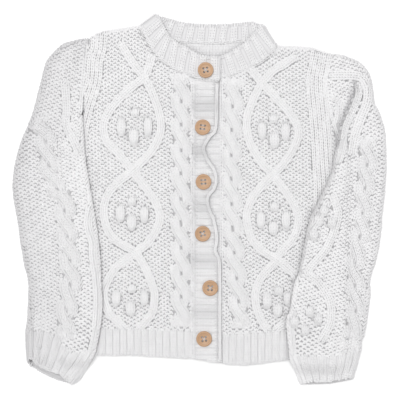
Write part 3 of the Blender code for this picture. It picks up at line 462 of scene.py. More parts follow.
spots, ups = lattice(np.array([[neck_middle, y_high], [neck_middle, y_low]]), STITCH_WIDE, STITCH_TALL,
                     (x_high - x_low) / 2, stagger=0.0)
kept = inset(spots, np.array(BACK)) > 0.3
spots, ups = spots[kept], ups[kept]
places, normals = on_surface(spots, level_at(BACK_LEVELS[1]), 0.2)
sizes = np.tile([STITCH_WIDE, STITCH_TALL], (len(spots), 1))
back_stitches = stitched("back_stitches", KNIT, places, normals, flat_up(ups), sizes, neck_painted_shadow(spots),
                         thickness=1.2)


# --- Fronts -----------------------------------------------------------------------------
# Two panels of Aran cable knitting: a rope cable beside the buttons, a diamond trellis with
# bobbles, narrow ribs at the armhole, all on moss stitch, and a ribbed hem. They lie on the back.

FRONT_LEVELS = (3.3, 5.5)
RIGHT_FRONT = [
    (-7.0, -152.3), (-6.8, 119.3), (-17.5, 122.6), (-26, 126.5), (-37, 134), (-46.2, 145), (-53.5, 157),
    (-57.3, 167), (-78, 163.5), (-94, 161), (-106.6, 154.3), (-110, 134), (-112.6, 105), (-112.8, 84.2),
    (-118, 68), (-124.3, 51), (-125.3, -48), (-124.3, -148), (-101, -148.2), (-60, -149), (-30, -151),
]
LEFT_FRONT = [
    (132, -153), (132.5, -40), (133, 52), (132.8, 57.2), (124.4, 88), (122.2, 99), (121, 113), (123, 125),
    (126, 139.5), (105, 146), (90, 146.8), (77, 147.5), (71.5, 142.4), (61, 133.8), (52, 129),
    (45.5, 125.4), (34.5, 120.8), (23.8, 117.4), (20.8, 114), (21, -20), (21.4, -157.4), (45, -158.3),
    (68, -155.5), (89, -152.8),
]
# The hems: where their ribs begin, and their lower edges
RIGHT_HEM = (
    [(-124, -124), (-8, -127)],
    [(-124.3, -148), (-101, -148.2), (-60, -149), (-30, -151), (-7.0, -152.3)],
)
LEFT_HEM = (
    [(22, -130), (132, -124)],
    [(21.4, -157.4), (45, -158.3), (68, -155.5), (89, -152.8), (132, -153)],
)
RIGHT_ROPE = [(-17.5, 119), (-17.5, 60), (-17.8, 0), (-17.5, -60), (-17.5, -121)]
LEFT_ROPE = [(33, 114), (31, 70), (30.5, 20), (32, -30), (36, -78), (40, -122)]
RIGHT_TRELLIS = [
    [(-76, 150), (-63, 130), (-53, 117), (-45, 102), (-39, 84), (-37, 68), (-42, 53), (-52, 40),
     (-65, 27), (-80, 15), (-89, 3), (-92, -13), (-87, -31), (-76, -42), (-62, -50), (-53, -64),
     (-46, -80), (-43, -92), (-45, -107), (-51, -116), (-58, -124)],
    [(-46, 137), (-50, 123), (-54, 117), (-71, 103), (-85, 87), (-92, 72), (-89, 56), (-79, 46),
     (-65, 28), (-52, 12), (-42, -3), (-38, -16), (-41, -28), (-50, -42), (-62, -51), (-79, -64),
     (-89, -80), (-92, -92), (-87, -108), (-76, -119), (-71, -124)],
]
LEFT_TRELLIS = [
    [(50, 124), (54, 119), (60, 112), (74, 97), (88, 81), (95, 65), (90, 49), (80, 34), (71, 24),
     (55, 8), (46, -10), (46, -24), (51, -39), (62, -50), (73, -57), (85, -66), (92, -74),
     (96, -92), (88, -112), (73, -125)],
    [(91, 137), (80, 129), (72, 125), (60, 112), (52, 97), (46, 80), (46, 64), (51, 49),
     (61, 34), (71, 23), (85, 4), (94, -13), (94, -27), (88, -40), (77, -51), (71, -61), (59, -75),
     (54, -88), (54, -100), (59, -115), (66, -126)],
]
RIGHT_BOBBLES = [
    # x, y, half width, half height
    (-62, 84, 4.3, 4), (-75, 70, 4.2, 8.5), (-49.5, 70, 4, 9), (-63, 60.5, 4.6, 7.5),
    (-65, -1, 4.3, 4), (-76, -13, 4.2, 8), (-53, -14, 4, 8), (-65, -22, 4.6, 7),
    (-65, -85, 4.3, 4), (-80, -94, 4.2, 7), (-53, -94, 4, 7), (-66, -104, 4.6, 6.5),
]
LEFT_BOBBLES = [
    (71, 78, 4.3, 4), (60, 67, 4, 8), (82.5, 66, 4.2, 8), (72, 57, 4.6, 7),
    (72, -6, 4.3, 4), (59, -19, 4, 8), (83, -19, 4.2, 8), (71, -27, 4.6, 6.5),
    (76, -87, 4.3, 4), (85, -95, 4.2, 6), (65, -97, 4, 7), (75, -106, 4.4, 6),
]
RIGHT_ARMHOLE_RIBS = [(-88, 160), (-89, 144), (-92, 133), (-94, 111), (-103, 81), (-107, 57), (-108, 27)]
LEFT_ARMHOLE_RIBS = [
    (107, 144), (104, 127), (102, 111), (106, 67), (108, 33), (109, 19), (109, 0), (106, -20),
]
SHOULDER_SEAM_Z, HEM_EDGE_Z = 4.9, 4.4  # the levels of the stitches along these edges

# The folds of the sleeves, which lie over the sides of the fronts, and the armhole and cuff lines
RIGHT_OUTER = [
    (-108.4, 154.8), (-117, 153.4), (-125, 151.4), (-132, 148.6), (-140, 141), (-147, 132), (-151, 117),
    (-155, 102), (-159, 86), (-165, 70), (-171, 56), (-177, 34), (-179, 15), (-178, 0), (-174, -22),
    (-172, -38), (-168, -62), (-164, -80), (-165, -115), (-167, -130), (-165.5, -156.7),
]
RIGHT_INNER = [
    (-113.2, 83.6), (-111.5, 62), (-110.5, 45), (-108, 27), (-105, 9), (-101, -14), (-98, -34),
    (-95.5, -58), (-94.6, -82), (-93.6, -96), (-94.6, -116), (-98, -135), (-101.5, -148),
    (-114, -170), (-121.5, -177.2),
]
RIGHT_CUFF = [(-165.5, -156.7), (-153, -165.5), (-137, -173), (-121.5, -177.2)]
RIGHT_ARMHOLE = [(-108.4, 154.8), (-110.3, 134), (-112.9, 105), (-113.2, 83.6)]
LEFT_OUTER = [
    (127.0, 139.8), (137, 138.6), (144.6, 135.8), (152.2, 132.8), (160, 125.4), (164.6, 115),
    (166.6, 101.5), (168, 92), (171.4, 86), (174.4, 78.4), (178, 63), (179, 32), (178.2, 17),
    (177, 1.6), (175, -14), (174, -29), (172, -44), (168.5, -60), (163.7, -75), (163.5, -91),
    (161.8, -106), (160.8, -114), (158, -129), (155, -137), (155, -144), (148.5, -168), (147.2, -172.4),
]
LEFT_INNER = [
    (133.4, 56.8), (130, 43), (128, 28.5), (122.4, 14), (117.6, 4.5), (110.8, -10), (106, -19.5),
    (101, -43.5), (96, -69.4), (91.2, -82), (87.5, -106), (83.8, -115.5), (86, -139.5), (87, -152),
    (90.6, -160), (97.4, -177.3),
]
LEFT_CUFF = [(147.2, -172.4), (129, -176.2), (113, -177.2), (97.4, -177.3)]
LEFT_ARMHOLE = [(127.0, 139.8), (123.4, 125), (121.4, 113), (122.6, 99), (124.9, 88), (133.4, 56.8)]


def sleeve_outline(outer, inner, cuff, armhole):
    """The outline of a sleeve as it lies."""
    return np.vstack([smooth(outer, 4.0), smooth(cuff, 4.0)[1:-1], smooth(inner, 4.0)[::-1],
                      smooth(armhole, 4.0)[::-1][1:-1]])


RIGHT_SLEEVE_OUTLINE = sleeve_outline(RIGHT_OUTER, RIGHT_INNER, RIGHT_CUFF, RIGHT_ARMHOLE)
LEFT_SLEEVE_OUTLINE = sleeve_outline(LEFT_OUTER, LEFT_INNER, LEFT_CUFF, LEFT_ARMHOLE)


def rows_along(path, lanes, wide, tall):
    """Places of knit stitches in columns along a path that runs down, and their upward directions."""
    rows = np.arange(0.0, walked(path)[-1], tall)
    middle, ways = at(path, rows)
    shift = (np.arange(lanes) - (lanes - 1) / 2) * wide
    spots = middle[:, None] + left_of(ways)[:, None] * shift[:, None]
    return spots.reshape(-1, 2), np.repeat(-ways, lanes, axis=0)


def clear_of_ends(far, across):
    """1 beside a path, and falling to 0 beyond its ends."""
    return ease(1 - np.sqrt(np.maximum(far**2 - across**2, 0.0)) / 2.0)


class Strand:
    """A raised strand of stocking stitch, such as a trellis cable or a rib."""

    def __init__(self, points, width, rise, lanes=2, row=2.75, bend=True, gap=0.0, short=1.0):
        self.path = smooth(points, 2.0) if bend else straight(points, 2.0)
        self.half, self.rise, self.lanes, self.row = width / 2, rise, lanes, row
        self.gap, self.short = gap, short  # how much narrower and shorter its stitches are than their spacing

    def height(self, spots):
        found = np.zeros(len(spots))
        low, high = self.path.min(0) - self.half, self.path.max(0) + self.half
        close = ((spots > low) & (spots < high)).all(1)
        if close.any():
            far, _, across = near(spots[close], self.path)
            off = np.clip(far / self.half, 0, 1)
            found[close] = self.rise * (1 - off**3) * clear_of_ends(far, across)
        return found

    def dots(self):
        shares = (-1.12, -0.92, -0.5, 0, 0.5, 0.92, 1.12)
        return np.vstack([beside(self.path, self.half * share) for share in shares])

    def stitches(self):
        wide = (2 * self.half - self.gap) / self.lanes
        spots, ups = rows_along(self.path, self.lanes, wide, self.row)
        return spots, ups, np.tile([wide, self.row * self.short], (len(spots), 1)), self.height(spots)


class Rope:
    """A rope cable: two fat strands that cross over each other all the way down."""

    TURN = 23.6  # how far along it a strand takes to cross over
    LANES = (-1.5, -0.5, 0.5, 1.5)  # the columns of stitches in a strand
    HIDDEN = 0.8  # how far a strand clears the other one before its stitches show
    FURROW = 1.3  # how deep it is where the strands meet
    TAPER = 9.0  # how long its ends are, where it rises out of the ground

    def __init__(self, points, width=20.0, rise=3.0):
        self.path = smooth(points, 2.0)
        self.swing, self.half = 0.235 * width, 0.29 * width  # how far a strand swings out, and half its width
        self.whole, self.rise = width / 2, rise

    def ends(self, along):
        """The rope's rise towards its ends, from 0 to 1."""
        return ease(along / self.TAPER) * ease((walked(self.path)[-1] - along) / self.TAPER)

    def phase(self, along, which):
        """How far one of the strands has turned round the other."""
        return math.pi * (along / self.TURN + which)

    def one(self, along, across, which):
        """The height of one of the strands."""
        phase = self.phase(along, which)
        off = np.clip((across + self.swing * np.cos(phase)) / self.half, -1, 1)
        rise = self.rise * (0.3 + 0.7 * self.ends(along)) * (0.60 + 0.40 * np.sin(phase))
        return rise * (1 - off**2) ** 0.45

    def meeting(self, along, across):
        """How clearly the two strands meet there, from 0 to 1."""
        first, second = (self.one(along, across, which) for which in (0, 1))
        return np.exp(-((first - second) / 0.8) ** 2) * self.ends(along) * (np.maximum(first, second) > 0.1)

    def furrow(self, spots):
        """How clearly the two strands meet at each spot, and 0 beside the rope."""
        far, along, across = near(spots, self.path)
        return (far < self.whole) * self.meeting(along, across)

    def height(self, spots):
        found = np.zeros(len(spots))
        low, high = self.path.min(0) - self.whole - 2, self.path.max(0) + self.whole + 2
        close = ((spots > low) & (spots < high)).all(1)
        far, along, across = near(spots[close], self.path)
        higher = np.maximum(*(self.one(along, across, which) for which in (0, 1)))
        higher -= self.FURROW * self.meeting(along, across)
        found[close] = np.where(far > self.whole + 2, 0.0, higher)
        found[close] *= clear_of_ends(far, across)
        return np.maximum(found, 0.0)

    def dots(self):
        rows = np.arange(0.0, walked(self.path)[-1], 1.2)
        places, ways = at(self.path, rows)
        found = [places + left_of(ways) * self.whole * share for share in np.linspace(-1.08, 1.08, 15)]
        shares = np.linspace(-1, 1, 60) * self.whole
        first, second = (self.one(rows[:, None], shares[None], which) for which in (0, 1))
        row, column = np.nonzero(np.diff(np.sign(first - second), axis=1) != 0)
        for shift in (-0.6, 0.0, 0.6):
            found.append(places[row] + left_of(ways[row]) * (shares[column] + shift)[:, None])
        return np.vstack(found)

    def stitches(self):
        rows = np.arange(0.0, walked(self.path)[-1], STITCH_TALL)
        middle, ways = at(self.path, rows)
        found = []
        for which in (0, 1):
            phase = self.phase(rows, which)
            slope = self.swing * np.sin(phase) * math.pi / self.TURN
            lean = ways + left_of(ways) * slope[:, None]
            lean /= np.linalg.norm(lean, axis=1)[:, None]
            swung = -self.swing * np.cos(phase)
            for lane in self.LANES:
                across = lane * self.half * 0.5
                spots = middle + left_of(ways) * swung[:, None] + left_of(lean) * across
                height, other = (self.one(rows, swung + across, strand) for strand in (which, 1 - which))
                seen = height > other + self.HIDDEN * self.ends(rows) ** 3 - 0.05
                found.append((spots[seen], -lean[seen], height[seen]))
        spots, ups, height = gathered(*found)
        return spots, ups, np.tile([self.half * 0.5, STITCH_TALL], (len(spots), 1)), height


class Bobble:
    """An oval knot of wool, worked up and down in one stitch."""

    RISE = 2.6

    def __init__(self, x, y, half_wide, half_tall):
        self.middle, self.radius = np.array([x, y], float), np.array([half_wide, half_tall])

    def height(self, spots):
        off = np.linalg.norm((spots - self.middle) / self.radius, axis=1)
        return self.RISE * np.sqrt(np.clip(1 - off**2, 0, 1))

    def dots(self):
        ring = np.arange(10) * math.tau / 10
        return np.vstack([
            self.middle + np.stack([np.cos(ring + share), np.sin(ring + share)], 1) * self.radius * share
            for share in (0.0, 0.35, 0.65, 0.85, 1.0, 1.15)])

    def stitches(self):
        rows = np.arange(1.6 - self.radius[1], self.radius[1] - 1.2, STITCH_TALL)
        wide = 1.2 * self.radius[0] * np.sqrt(1 - (rows / self.radius[1]) ** 2 * 0.8)
        spots = np.vstack([np.stack([lane * wide / 2, rows], 1) for lane in (-1, 0, 1)]) + self.middle
        sizes = np.tile(np.stack([wide * 0.62, np.full(len(rows), STITCH_TALL)], 1), (3, 1))
        return spots, np.tile([0.0, 1.0], (len(spots), 1)), sizes, self.height(spots)


def ribs_between(upper, lower, pitch, width, rise):
    """Ribs from an upper line down to an edge, spread evenly along it."""
    upper, lower = straight(upper, 3.0), straight(lower, 3.0)
    count = round(walked(lower)[-1] / pitch)
    shares = (np.arange(count) + 0.5) / count
    tops, feet = (at(line, shares * walked(line)[-1])[0] for line in (upper, lower))
    return [Strand([top, foot + (foot - top) * 0.02], width, rise, row=2.5, bend=False, gap=0.3)
            for top, foot in zip(tops, feet)]


def ribs_beside(line, first, pitch, count, width, rise):
    """Ribs that run side by side along a line, with small purl bumps in the furrows."""
    path = smooth(line, 4.0)
    ribs = [Strand(beside(path, first + pitch * i), width, rise, lanes=1) for i in range(count)]
    purl = {"width": 1.8, "rise": 0.05, "lanes": 1, "row": 3.3, "short": 0.5}
    furrows = [Strand(beside(path, first + pitch * (i + 0.5)), **purl) for i in range(count)]
    return ribs + furrows


def drape(spots):
    """The slight ups and downs of cloth that lies loosely, from -1 to 1."""
    x, y = spots[:, 0], spots[:, 1]
    return (np.sin(x / 17 + 1.3 * np.sin(y / 41)) * np.sin(y / 29 + 0.8 * np.sin(x / 33 + 2))
            + 0.5 * np.sin(x / 9 + y / 14 + 1) * np.sin(y / 11 - x / 23)) / 1.5


def seam(path, level, wide=3.2, tall=2.9):
    """A chain of stitches that joins two pieces along a path."""
    walk = np.arange(tall / 2, walked(path)[-1], tall)
    places, ways = at(path, walk)
    return (np.column_stack([places, level(places)]), np.tile([0.0, 0.0, 1.0], (len(walk), 1)),
            flat_up(-ways), np.tile([wide, tall], (len(walk), 1)))


def gathered(*groups):
    """Several groups of stitches as one."""
    return [np.concatenate(part) for part in zip(*groups)]


class Panel:
    """A knitted panel: its ground, what is raised on it, and what lies on it and presses it down.

    Its painted shadows and painted dark gaps are each a path, how far the painted grey reaches from it, and
    how deep it is.
    """

    PRESSED = 3.0  # how far from a cover's edge the pattern stands up in full again

    def __init__(self, name, outline, levels, features, covers=(), ribbed=(), lift=level_at(0.0), loose=0.55,
                 shadows=(), painted_gap_shade=()):
        self.name, self.outline, self.levels = name, np.array(outline, float), levels
        self.features, self.covers, self.ribbed = features, covers, ribbed
        self.ropes = [feature for feature in features if isinstance(feature, Rope)]
        self.bobbles = [feature for feature in features if isinstance(feature, Bobble)]
        self.lift, self.loose, self.painted_gap_shade = lift, loose, painted_gap_shade
        self.shadows = [(np.array(path, float), reach, depth) for path, reach, depth in shadows]

    def painted_shade(self, spots):
        """Painted shade: how grey the wool is painted in folds, beside what lies on it, and round the
        bobbles.
        """
        found = np.zeros(len(spots))
        for path, reach, depth in self.shadows:
            found = np.maximum(found, depth * np.exp(-(near(spots, path)[0] / reach) ** 2))
        for bobble in self.bobbles:
            off = (spots - bobble.middle) / bobble.radius
            far = np.linalg.norm(off, axis=1)
            sideways = np.abs(off[:, 0]) / np.maximum(far, 0.1)
            # A painted shadow in a ring round each bobble, darkest at its sides
            ring = np.exp(-((far - 1.15) / 0.2) ** 2) * (0.35 + 0.65 * sideways)
            found = np.maximum(found, 0.5 * ring)
        return found

    def open(self, spots):
        """How freely the pattern stands up: 0 under a cover, 1 clear of it."""
        free = np.ones(len(spots))
        for cover in self.covers:
            free *= ease((-inset(spots, cover) - 0.6) / self.PRESSED)
        return free

    def pattern(self, spots):
        """How far the ropes, strands, bobbles and ribs stand out of the ground."""
        return np.max([feature.height(spots) for feature in self.features], axis=0)

    def plain(self, spots):
        """Where nothing is raised, and moss stitch fills the ground."""
        clear = self.pattern(spots) < 0.3
        for rope in self.ropes:
            far, along, _ = near(spots, rope.path)
            clear &= (far > rope.whole * 0.7) | (rope.ends(along) < 0.5)
        for zone in self.ribbed:
            clear &= inset(spots, zone) < -0.2
        return clear

    def shade(self, corners):
        """How much painted shade greys the ground: deepest between the moss stitches and where a rope's
        strands meet.
        """
        spots = corners[:, :2]
        found = self.plain(spots) * (self.pattern(spots) < 0.05) * ease(inset(spots, self.outline) / 3.0)
        for rope in self.ropes:
            found = np.maximum(found, rope.furrow(spots))
        # Ground painted dark under rib columns, so the gaps between their stitches read as dark dots
        for path, reach, depth in self.painted_gap_shade:
            found = np.maximum(found, depth * ease(2 - 2 * near(spots, path)[0] / reach))
        height = corners[:, 2] - self.lift(spots) - self.levels[0]
        return np.maximum(found, self.painted_shade(spots)) * ease(height / 1.2)

    def top(self, spots):
        waves = self.loose * drape(spots) * ease(inset(spots, self.outline) / 12)
        return self.levels[1] + self.lift(spots) + self.open(spots) * (self.pattern(spots) + waves)

    def under(self, spots):
        return self.levels[0] + self.lift(spots)

    def clear(self, spots, edge):
        """Whether each spot is so far inside the outline, and under no cover."""
        keep = inset(spots, self.outline) > edge
        for cover in self.covers:
            keep &= inset(spots, cover) < -0.2
        return keep

    def raised(self, edge, also=lambda spots: True):
        """The knit stitches on all that is raised."""
        spots, ups, sizes, own = gathered(*(feature.stitches() for feature in self.features))
        keep = self.clear(spots, edge) & (own > self.pattern(spots) - 0.1) & also(spots)
        return (*on_surface(spots[keep], self.top, 0.25), flat_up(ups[keep]), sizes[keep])

    def build(self, edge, seams):
        """The cloth, and its knit stitches with those of some seams."""
        dots = np.vstack([feature.dots() for feature in self.features])
        for cover in self.covers:
            dots = dots[inset(dots, cover) < 2.0]
        piece = cloth(self.name + "_cloth", self.outline, self.top, self.under, dots, 1.9, self.shade)
        chosen = gathered(self.raised(edge), *seams)
        return piece, stitched(self.name + "_cables", KNIT, *chosen, self.painted_shade(chosen[0][:, :2]), seed=3)

    def moss(self, guide, reach, spacing, loop, thickness, seed, edge, wander=0.0, more=()):
        """Moss stitch: columns beside a guide line, every other one half a stitch further down."""
        spots, ups = lattice(smooth(guide, 4.0), 2 * spacing[0], spacing[1] / 2, reach)
        spots = spots + wander * np.stack([np.sin(spots[:, 1] / 13), np.sin(spots[:, 0] / 11)], 1)
        keep = self.clear(spots, edge) & self.plain(spots)
        spots, ups = spots[keep], ups[keep]
        places, normals, ups = gathered((*on_surface(spots, self.top, 0.1), flat_up(ups)), *more)
        return stitched(self.name + "_moss", PURL, places, normals, ups, np.tile(loop, (len(places), 1)),
                        self.painted_shade(places[:, :2]), thickness, seed, unevenness=0.2)


def hem_zone(hem):
    """The part of a front that is ribbed."""
    return np.vstack([hem[0], np.array(hem[1][::-1]) - [0, 8]])


for side, outline, rope, trellis, bobbles, armhole, shift, hem, sleeve, fold, painted_shade, shoulder, middle in (
    ("right", RIGHT_FRONT, RIGHT_ROPE, RIGHT_TRELLIS, RIGHT_BOBBLES, RIGHT_ARMHOLE_RIBS, -1, RIGHT_HEM,
     RIGHT_SLEEVE_OUTLINE, RIGHT_INNER, 0.2, [(-57.5, 166), (-78, 162.8), (-94, 160.2), (-106, 153.8)], -65),
    ("left", LEFT_FRONT, LEFT_ROPE, LEFT_TRELLIS, LEFT_BOBBLES, LEFT_ARMHOLE_RIBS, 1, LEFT_HEM,
     LEFT_SLEEVE_OUTLINE, LEFT_INNER, 0.5, [(72, 142.5), (77.5, 146.6), (105, 145.2), (125, 139)], 77),
):
    features = [
        Rope(rope),
        Strand(trellis[0], width=7.6, rise=1.5),
        Strand(trellis[1], width=7.6, rise=1.2),
        *(Bobble(*place) for place in bobbles),
        *ribs_beside(armhole, first=shift * 2.0, pitch=shift * 4.0, count=5, width=3.1, rise=0.7),
        *ribs_between(*hem, pitch=6.8, width=5.4, rise=1.2),
    ]
    # Painted shade: a painted shadow along the sleeve's fold, and the ground painted dark between the armhole
    # ribs
    front = Panel(side + "_front", outline, FRONT_LEVELS, features, [sleeve], [hem_zone(hem)],
                  shadows=[(smooth(fold, 4.0), 3.4, painted_shade)],
                  painted_gap_shade=[(beside(smooth(armhole, 4.0), shift * 9.0), 13.0, 0.9)])
    piece, cables = front.build(edge=0.9, seams=[
        seam(straight(shoulder, 4.0), level_at(SHOULDER_SEAM_Z)),
        seam(straight(hem[1], 4.0)[1:-1] + [0, 0.9], level_at(HEM_EDGE_Z), wide=3.0)])
    moss = front.moss([(middle, 170), (middle, -130)], reach=66, spacing=(3.17, 3.74), loop=(3.4, 3.05),
                      thickness=2.05, seed=5, edge=0.9, wander=0.35)
    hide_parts(side + "_front")
    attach(piece, "root")


# --- Sleeves ----------------------------------------------------------------------------
# Each sleeve is a tube, knitted flat and sewn up along its underside, and set in at the armhole.
# It lies flattened with a fold down each side, comes to rest partly on the front, and ends in a cuff.

SLEEVE_HALF = 2.7  # half the thickness of the flattened tube, up to the ground between the stitches
SLEEVE_LIFT = 6.6  # how far up it lies where it is all on the front
FOLD_Z = 1.7  # the height of its folds
FOLD_ROUND = 7.0  # how far inside its folds the upper face is still rounded
MOUTH_SHORT = 10.0  # how far the upper face of an open cuff ends short of the lower one
MOUTH_OPEN = 2.6  # how far the two faces of an open cuff stand apart
CUFF_DEPTH = 28.0
BODY = np.array([
    (-54, 163), (-107, 154), (-110.5, 134), (-113, 105), (-113, 84), (-124.6, 51), (-125.6, -48),
    (-124.6, -148.5), (-30, -151.5), (21, -158), (45, -158.6), (89, -153.2), (132.4, -153.2),
    (133, -40), (133.4, 52), (133.2, 57.4), (124.8, 88), (121.4, 113), (126.4, 139.6), (78, 147),
], float)
RIGHT_SLEEVE_ROPE = [
    (-156, 78), (-148, 58), (-144.5, 34), (-137, 12), (-130, 3), (-128, -20), (-126, -37),
    (-123.5, -56), (-122.5, -78), (-126, -97), (-128, -119), (-128, -132),
]
RIGHT_SLEEVE_STRANDS = [
    [(-129, 112), (-127.5, 92), (-127, 70), (-120, 57), (-115, 45)],
    [(-104.5, -8), (-106, -24), (-101.5, -41), (-101.3, -52), (-98.6, -73), (-97, -97), (-98.6, -122)],
]
LEFT_SLEEVE_ROPE = [
    (161, 58), (161, 36), (158, 8), (156, -22), (152, -44), (148, -68), (150, -91), (149, -113),
    (144.5, -132),
]
LEFT_SLEEVE_STRANDS = [
    [(127, 4), (132, -12), (129, -28), (120, -48), (104, -68), (113, -78), (124, -96), (125, -116),
     (116, -134)],
    [(122, -4), (112, -20), (105, -32)],
    [(126, 119.3), (138, 119.6), (149, 119.3), (156, 117), (160.5, 110), (161.5, 101), (160, 91), (154, 76),
     (149, 60), (146, 44)],
    [(152.5, 109), (152.5, 100), (148.5, 89), (143.5, 78), (139, 66), (136.5, 50), (133, 36)],
    [(134.5, 90), (134, 82), (132, 73), (130, 66)],
    [(127.5, 97.5), (134, 94.5), (140, 89)],
]
LEFT_SLEEVE_BOBBLES = [
    (118.6, -10), (114, -20), (109, -33), (126, -22), (105, -106), (113, -114), (91, -116), (101, -124),
]
CAP_FOLD = [
    (149.3, 114), (149, 103.4), (145.6, 95), (142, 87), (138, 79), (134.6, 70), (132.4, 60), (131.8, 50),
]


def ring_of_faces(first, second, around, flip=False):
    """The faces between two rings of corners."""
    pairs = [(i, (i + 1) % around) for i in range(around)]
    quads = [[first + i, first + j, second + j, second + i] for i, j in pairs]
    return [quad[::-1] for quad in quads] if flip else quads


class Sleeve(Panel):
    """A flattened tube between its two folds, open at the armhole and at the cuff.

    lift_from: the y between which the front's side starts to hold it up, and does so in full
    hand: 1 where its outer fold is on the left, -1 where it is on the right
    crumple: lumps in the cloth, each x, y, width, length, rise
    folds: folds in the cloth, each a path, a rise and a reach
    gape: how far its cuff stands open, from 0 to 1
    notch: where the edge of the cuff draws back further: a share of its width, how wide, how deep
    """

    ROWS = 170  # rows of corners from the armhole to the cuff
    # How far inside the outer skin the inner one is: at its sides, below, above, and under what is raised
    LINING_SIDES, LINING_BELOW, LINING_ABOVE, LINING_RAISED = 3.0, 1.5, 2.3, 1.4
    LINING_GAP = 0.4  # the least room between the faces of the inner skin

    def __init__(self, name, sides, features, lift_from, hand, ribbed, crumple, folds, gape, shadows, notch):
        super().__init__(name, sleeve_outline(*sides), (0.0, 2 * SLEEVE_HALF), features, ribbed=ribbed,
                         lift=self.held_up, shadows=shadows)
        self.outer, self.inner, self.cuff, self.armhole = (smooth(side, 2.0) for side in sides)
        self.lift_from, self.hand, self.crumple, self.gape, self.notch = lift_from, hand, crumple, gape, notch
        self.folds = [(smooth(path, 2.0), rise, reach) for path, rise, reach in folds]
        run = self.cuff.mean(0) - at(self.outer, np.array([walked(self.outer)[-1] - 30.0]))[0][0]
        self.run = run / np.linalg.norm(run)

    def held_up(self, spots):
        """How far the side of the body holds the sleeve up."""
        start, full = self.lift_from
        over = ease(1 - (-inset(spots, BODY) - 2.0) / 14.0)
        return SLEEVE_LIFT * over * ease((full - spots[:, 1]) / (full - start))

    def mouth(self, spots):
        """How far the cuff stands open."""
        beside_cuff = ease(1 - near(spots, self.cuff)[0] / 20.0)
        return MOUTH_OPEN * self.gape * beside_cuff * self.bend(spots, 9.0) ** 2

    def bend(self, spots, reach):
        """The rounding beside the folds, from 0 at a fold to 1 so far inside it."""
        far = np.minimum(near(spots, self.outer)[0], near(spots, self.inner)[0])
        return np.sqrt(1 - np.clip(1 - far / reach, 0, 1) ** 2)

    def creases(self, spots):
        """What the cloth's own lumps and folds add to its upper face."""
        found = 0.7 * drape(spots)
        for x, y, wide, tall, rise in self.crumple:
            found += rise * np.exp(-((spots[:, 0] - x) / wide) ** 2 - ((spots[:, 1] - y) / tall) ** 2)
        for path, rise, reach in self.folds:
            far, along, across = near(spots, path)
            over = ease((across + 1.2) / 2.4)
            ends = ease(along / 10) * ease((walked(path)[-1] - along) / 10)
            found += rise * (over - 0.6 * (1 - over)) * np.exp(-(far / reach) ** 2) * ends
        return found

    def top(self, spots):
        free = ease((self.bend(spots, FOLD_ROUND) - 0.3) / 0.7)
        rise = (self.pattern(spots) + self.creases(spots)) * free + self.mouth(spots)
        return self.lift(spots) + FOLD_Z + (2 * SLEEVE_HALF - FOLD_Z) * self.bend(spots, FOLD_ROUND) + rise

    def under(self, spots):
        return self.lift(spots) + FOLD_Z * (1 - self.bend(spots, 2.5))

    def grid(self, shares, short=0.0):
        """Rows of spots across the sleeve, from the armhole to the cuff, or to just short of it."""
        steps = np.linspace(0, 1, self.ROWS)
        left, right = (at(fold, steps * walked(fold)[-1])[0] for fold in (self.outer, self.inner))
        first, last = (at(line, shares * walked(line)[-1])[0] for line in (self.armhole, self.cuff))
        drawn = short * ease((np.minimum(shares, 1 - shares) - 0.03) / 0.12)
        if short and self.notch:
            place, wide, deep = self.notch
            drawn = drawn + deep * np.exp(-((shares - place) / wide) ** 2)
        rows = left[:, None] + (right - left)[:, None] * shares[:, None]
        to_armhole, to_cuff = ((1 - steps) ** 6)[:, None, None], (steps ** 12)[:, None, None]
        return (rows + to_armhole * (first - rows[0]) + to_cuff * (last - rows[-1])
                - to_cuff * self.run * drawn[:, None])

    def tube(self):
        """The closed shell of the sleeve: its outer skin, its inner skin, and a rim at each end."""
        fold = 0.5 * (1 - np.cos(np.linspace(0, math.pi / 2, 6)[1:])) * 0.12
        shares = np.unique(np.concatenate([[0.0], fold, np.linspace(0.06, 0.94, 36), 1 - fold, [1.0]]))
        upper, lower = self.grid(shares, MOUTH_SHORT * self.gape), self.grid(shares[::-1][1:-1])
        skin = [np.vstack([np.column_stack([up, self.top(up)]), np.column_stack([low, self.under(low)])])
                for up, low in zip(upper, lower)]
        rows, around = len(skin), len(skin[0])
        lining = []
        for k in [0, *range(3, rows - 12, 14), *range(rows - 12, rows, 3), rows - 1]:
            spots = skin[k][:, :2]
            wide = np.linalg.norm(spots[len(shares) - 1] - spots[0])
            inward = (spots[len(shares) - 1] - spots[0]) / wide
            reach = (spots - spots[0]) @ inward
            kept = np.clip(reach, self.LINING_SIDES, wide - self.LINING_SIDES)
            spots = spots + inward * (kept - reach)[:, None]
            floor = self.lift(spots) + self.LINING_BELOW
            ceiling = self.lift(spots) + 2 * SLEEVE_HALF - self.LINING_ABOVE + self.mouth(spots)
            ceiling = np.minimum(ceiling, self.top(spots) - self.LINING_RAISED)
            ceiling = np.maximum(ceiling, floor + self.LINING_GAP)
            lining.append(np.column_stack([spots, np.where(np.arange(around) < len(shares), ceiling, floor)]))
        turned = self.hand > 0
        faces = []
        for first, last, flip in ((0, rows - 1, turned), (rows, rows + len(lining) - 1, not turned)):
            for k in range(first, last):
                faces += ring_of_faces(k * around, (k + 1) * around, around, flip)
        faces += ring_of_faces(0, rows * around, around, not turned)
        faces += ring_of_faces((rows - 1) * around, (rows + len(lining) - 1) * around, around, turned)
        outside = rows * around
        # The outer skin takes the panel's painted shade; the inner skin, seen in the cuff's mouth, is painted
        # dark grey, lighter within 7 mm of its edge
        return plain_mesh(self.name + "_cloth", np.vstack([*skin, *lining]), faces, lambda c: np.concatenate(
            [self.shade(c[:outside]), np.where(inset(c[outside:, :2], self.outline) < 7.0, 0.15, 0.85)]))

    def side_stitches(self, fold, hand, row, start, stop):
        """Stitches round one side, along part of its fold, in two columns."""
        found = []
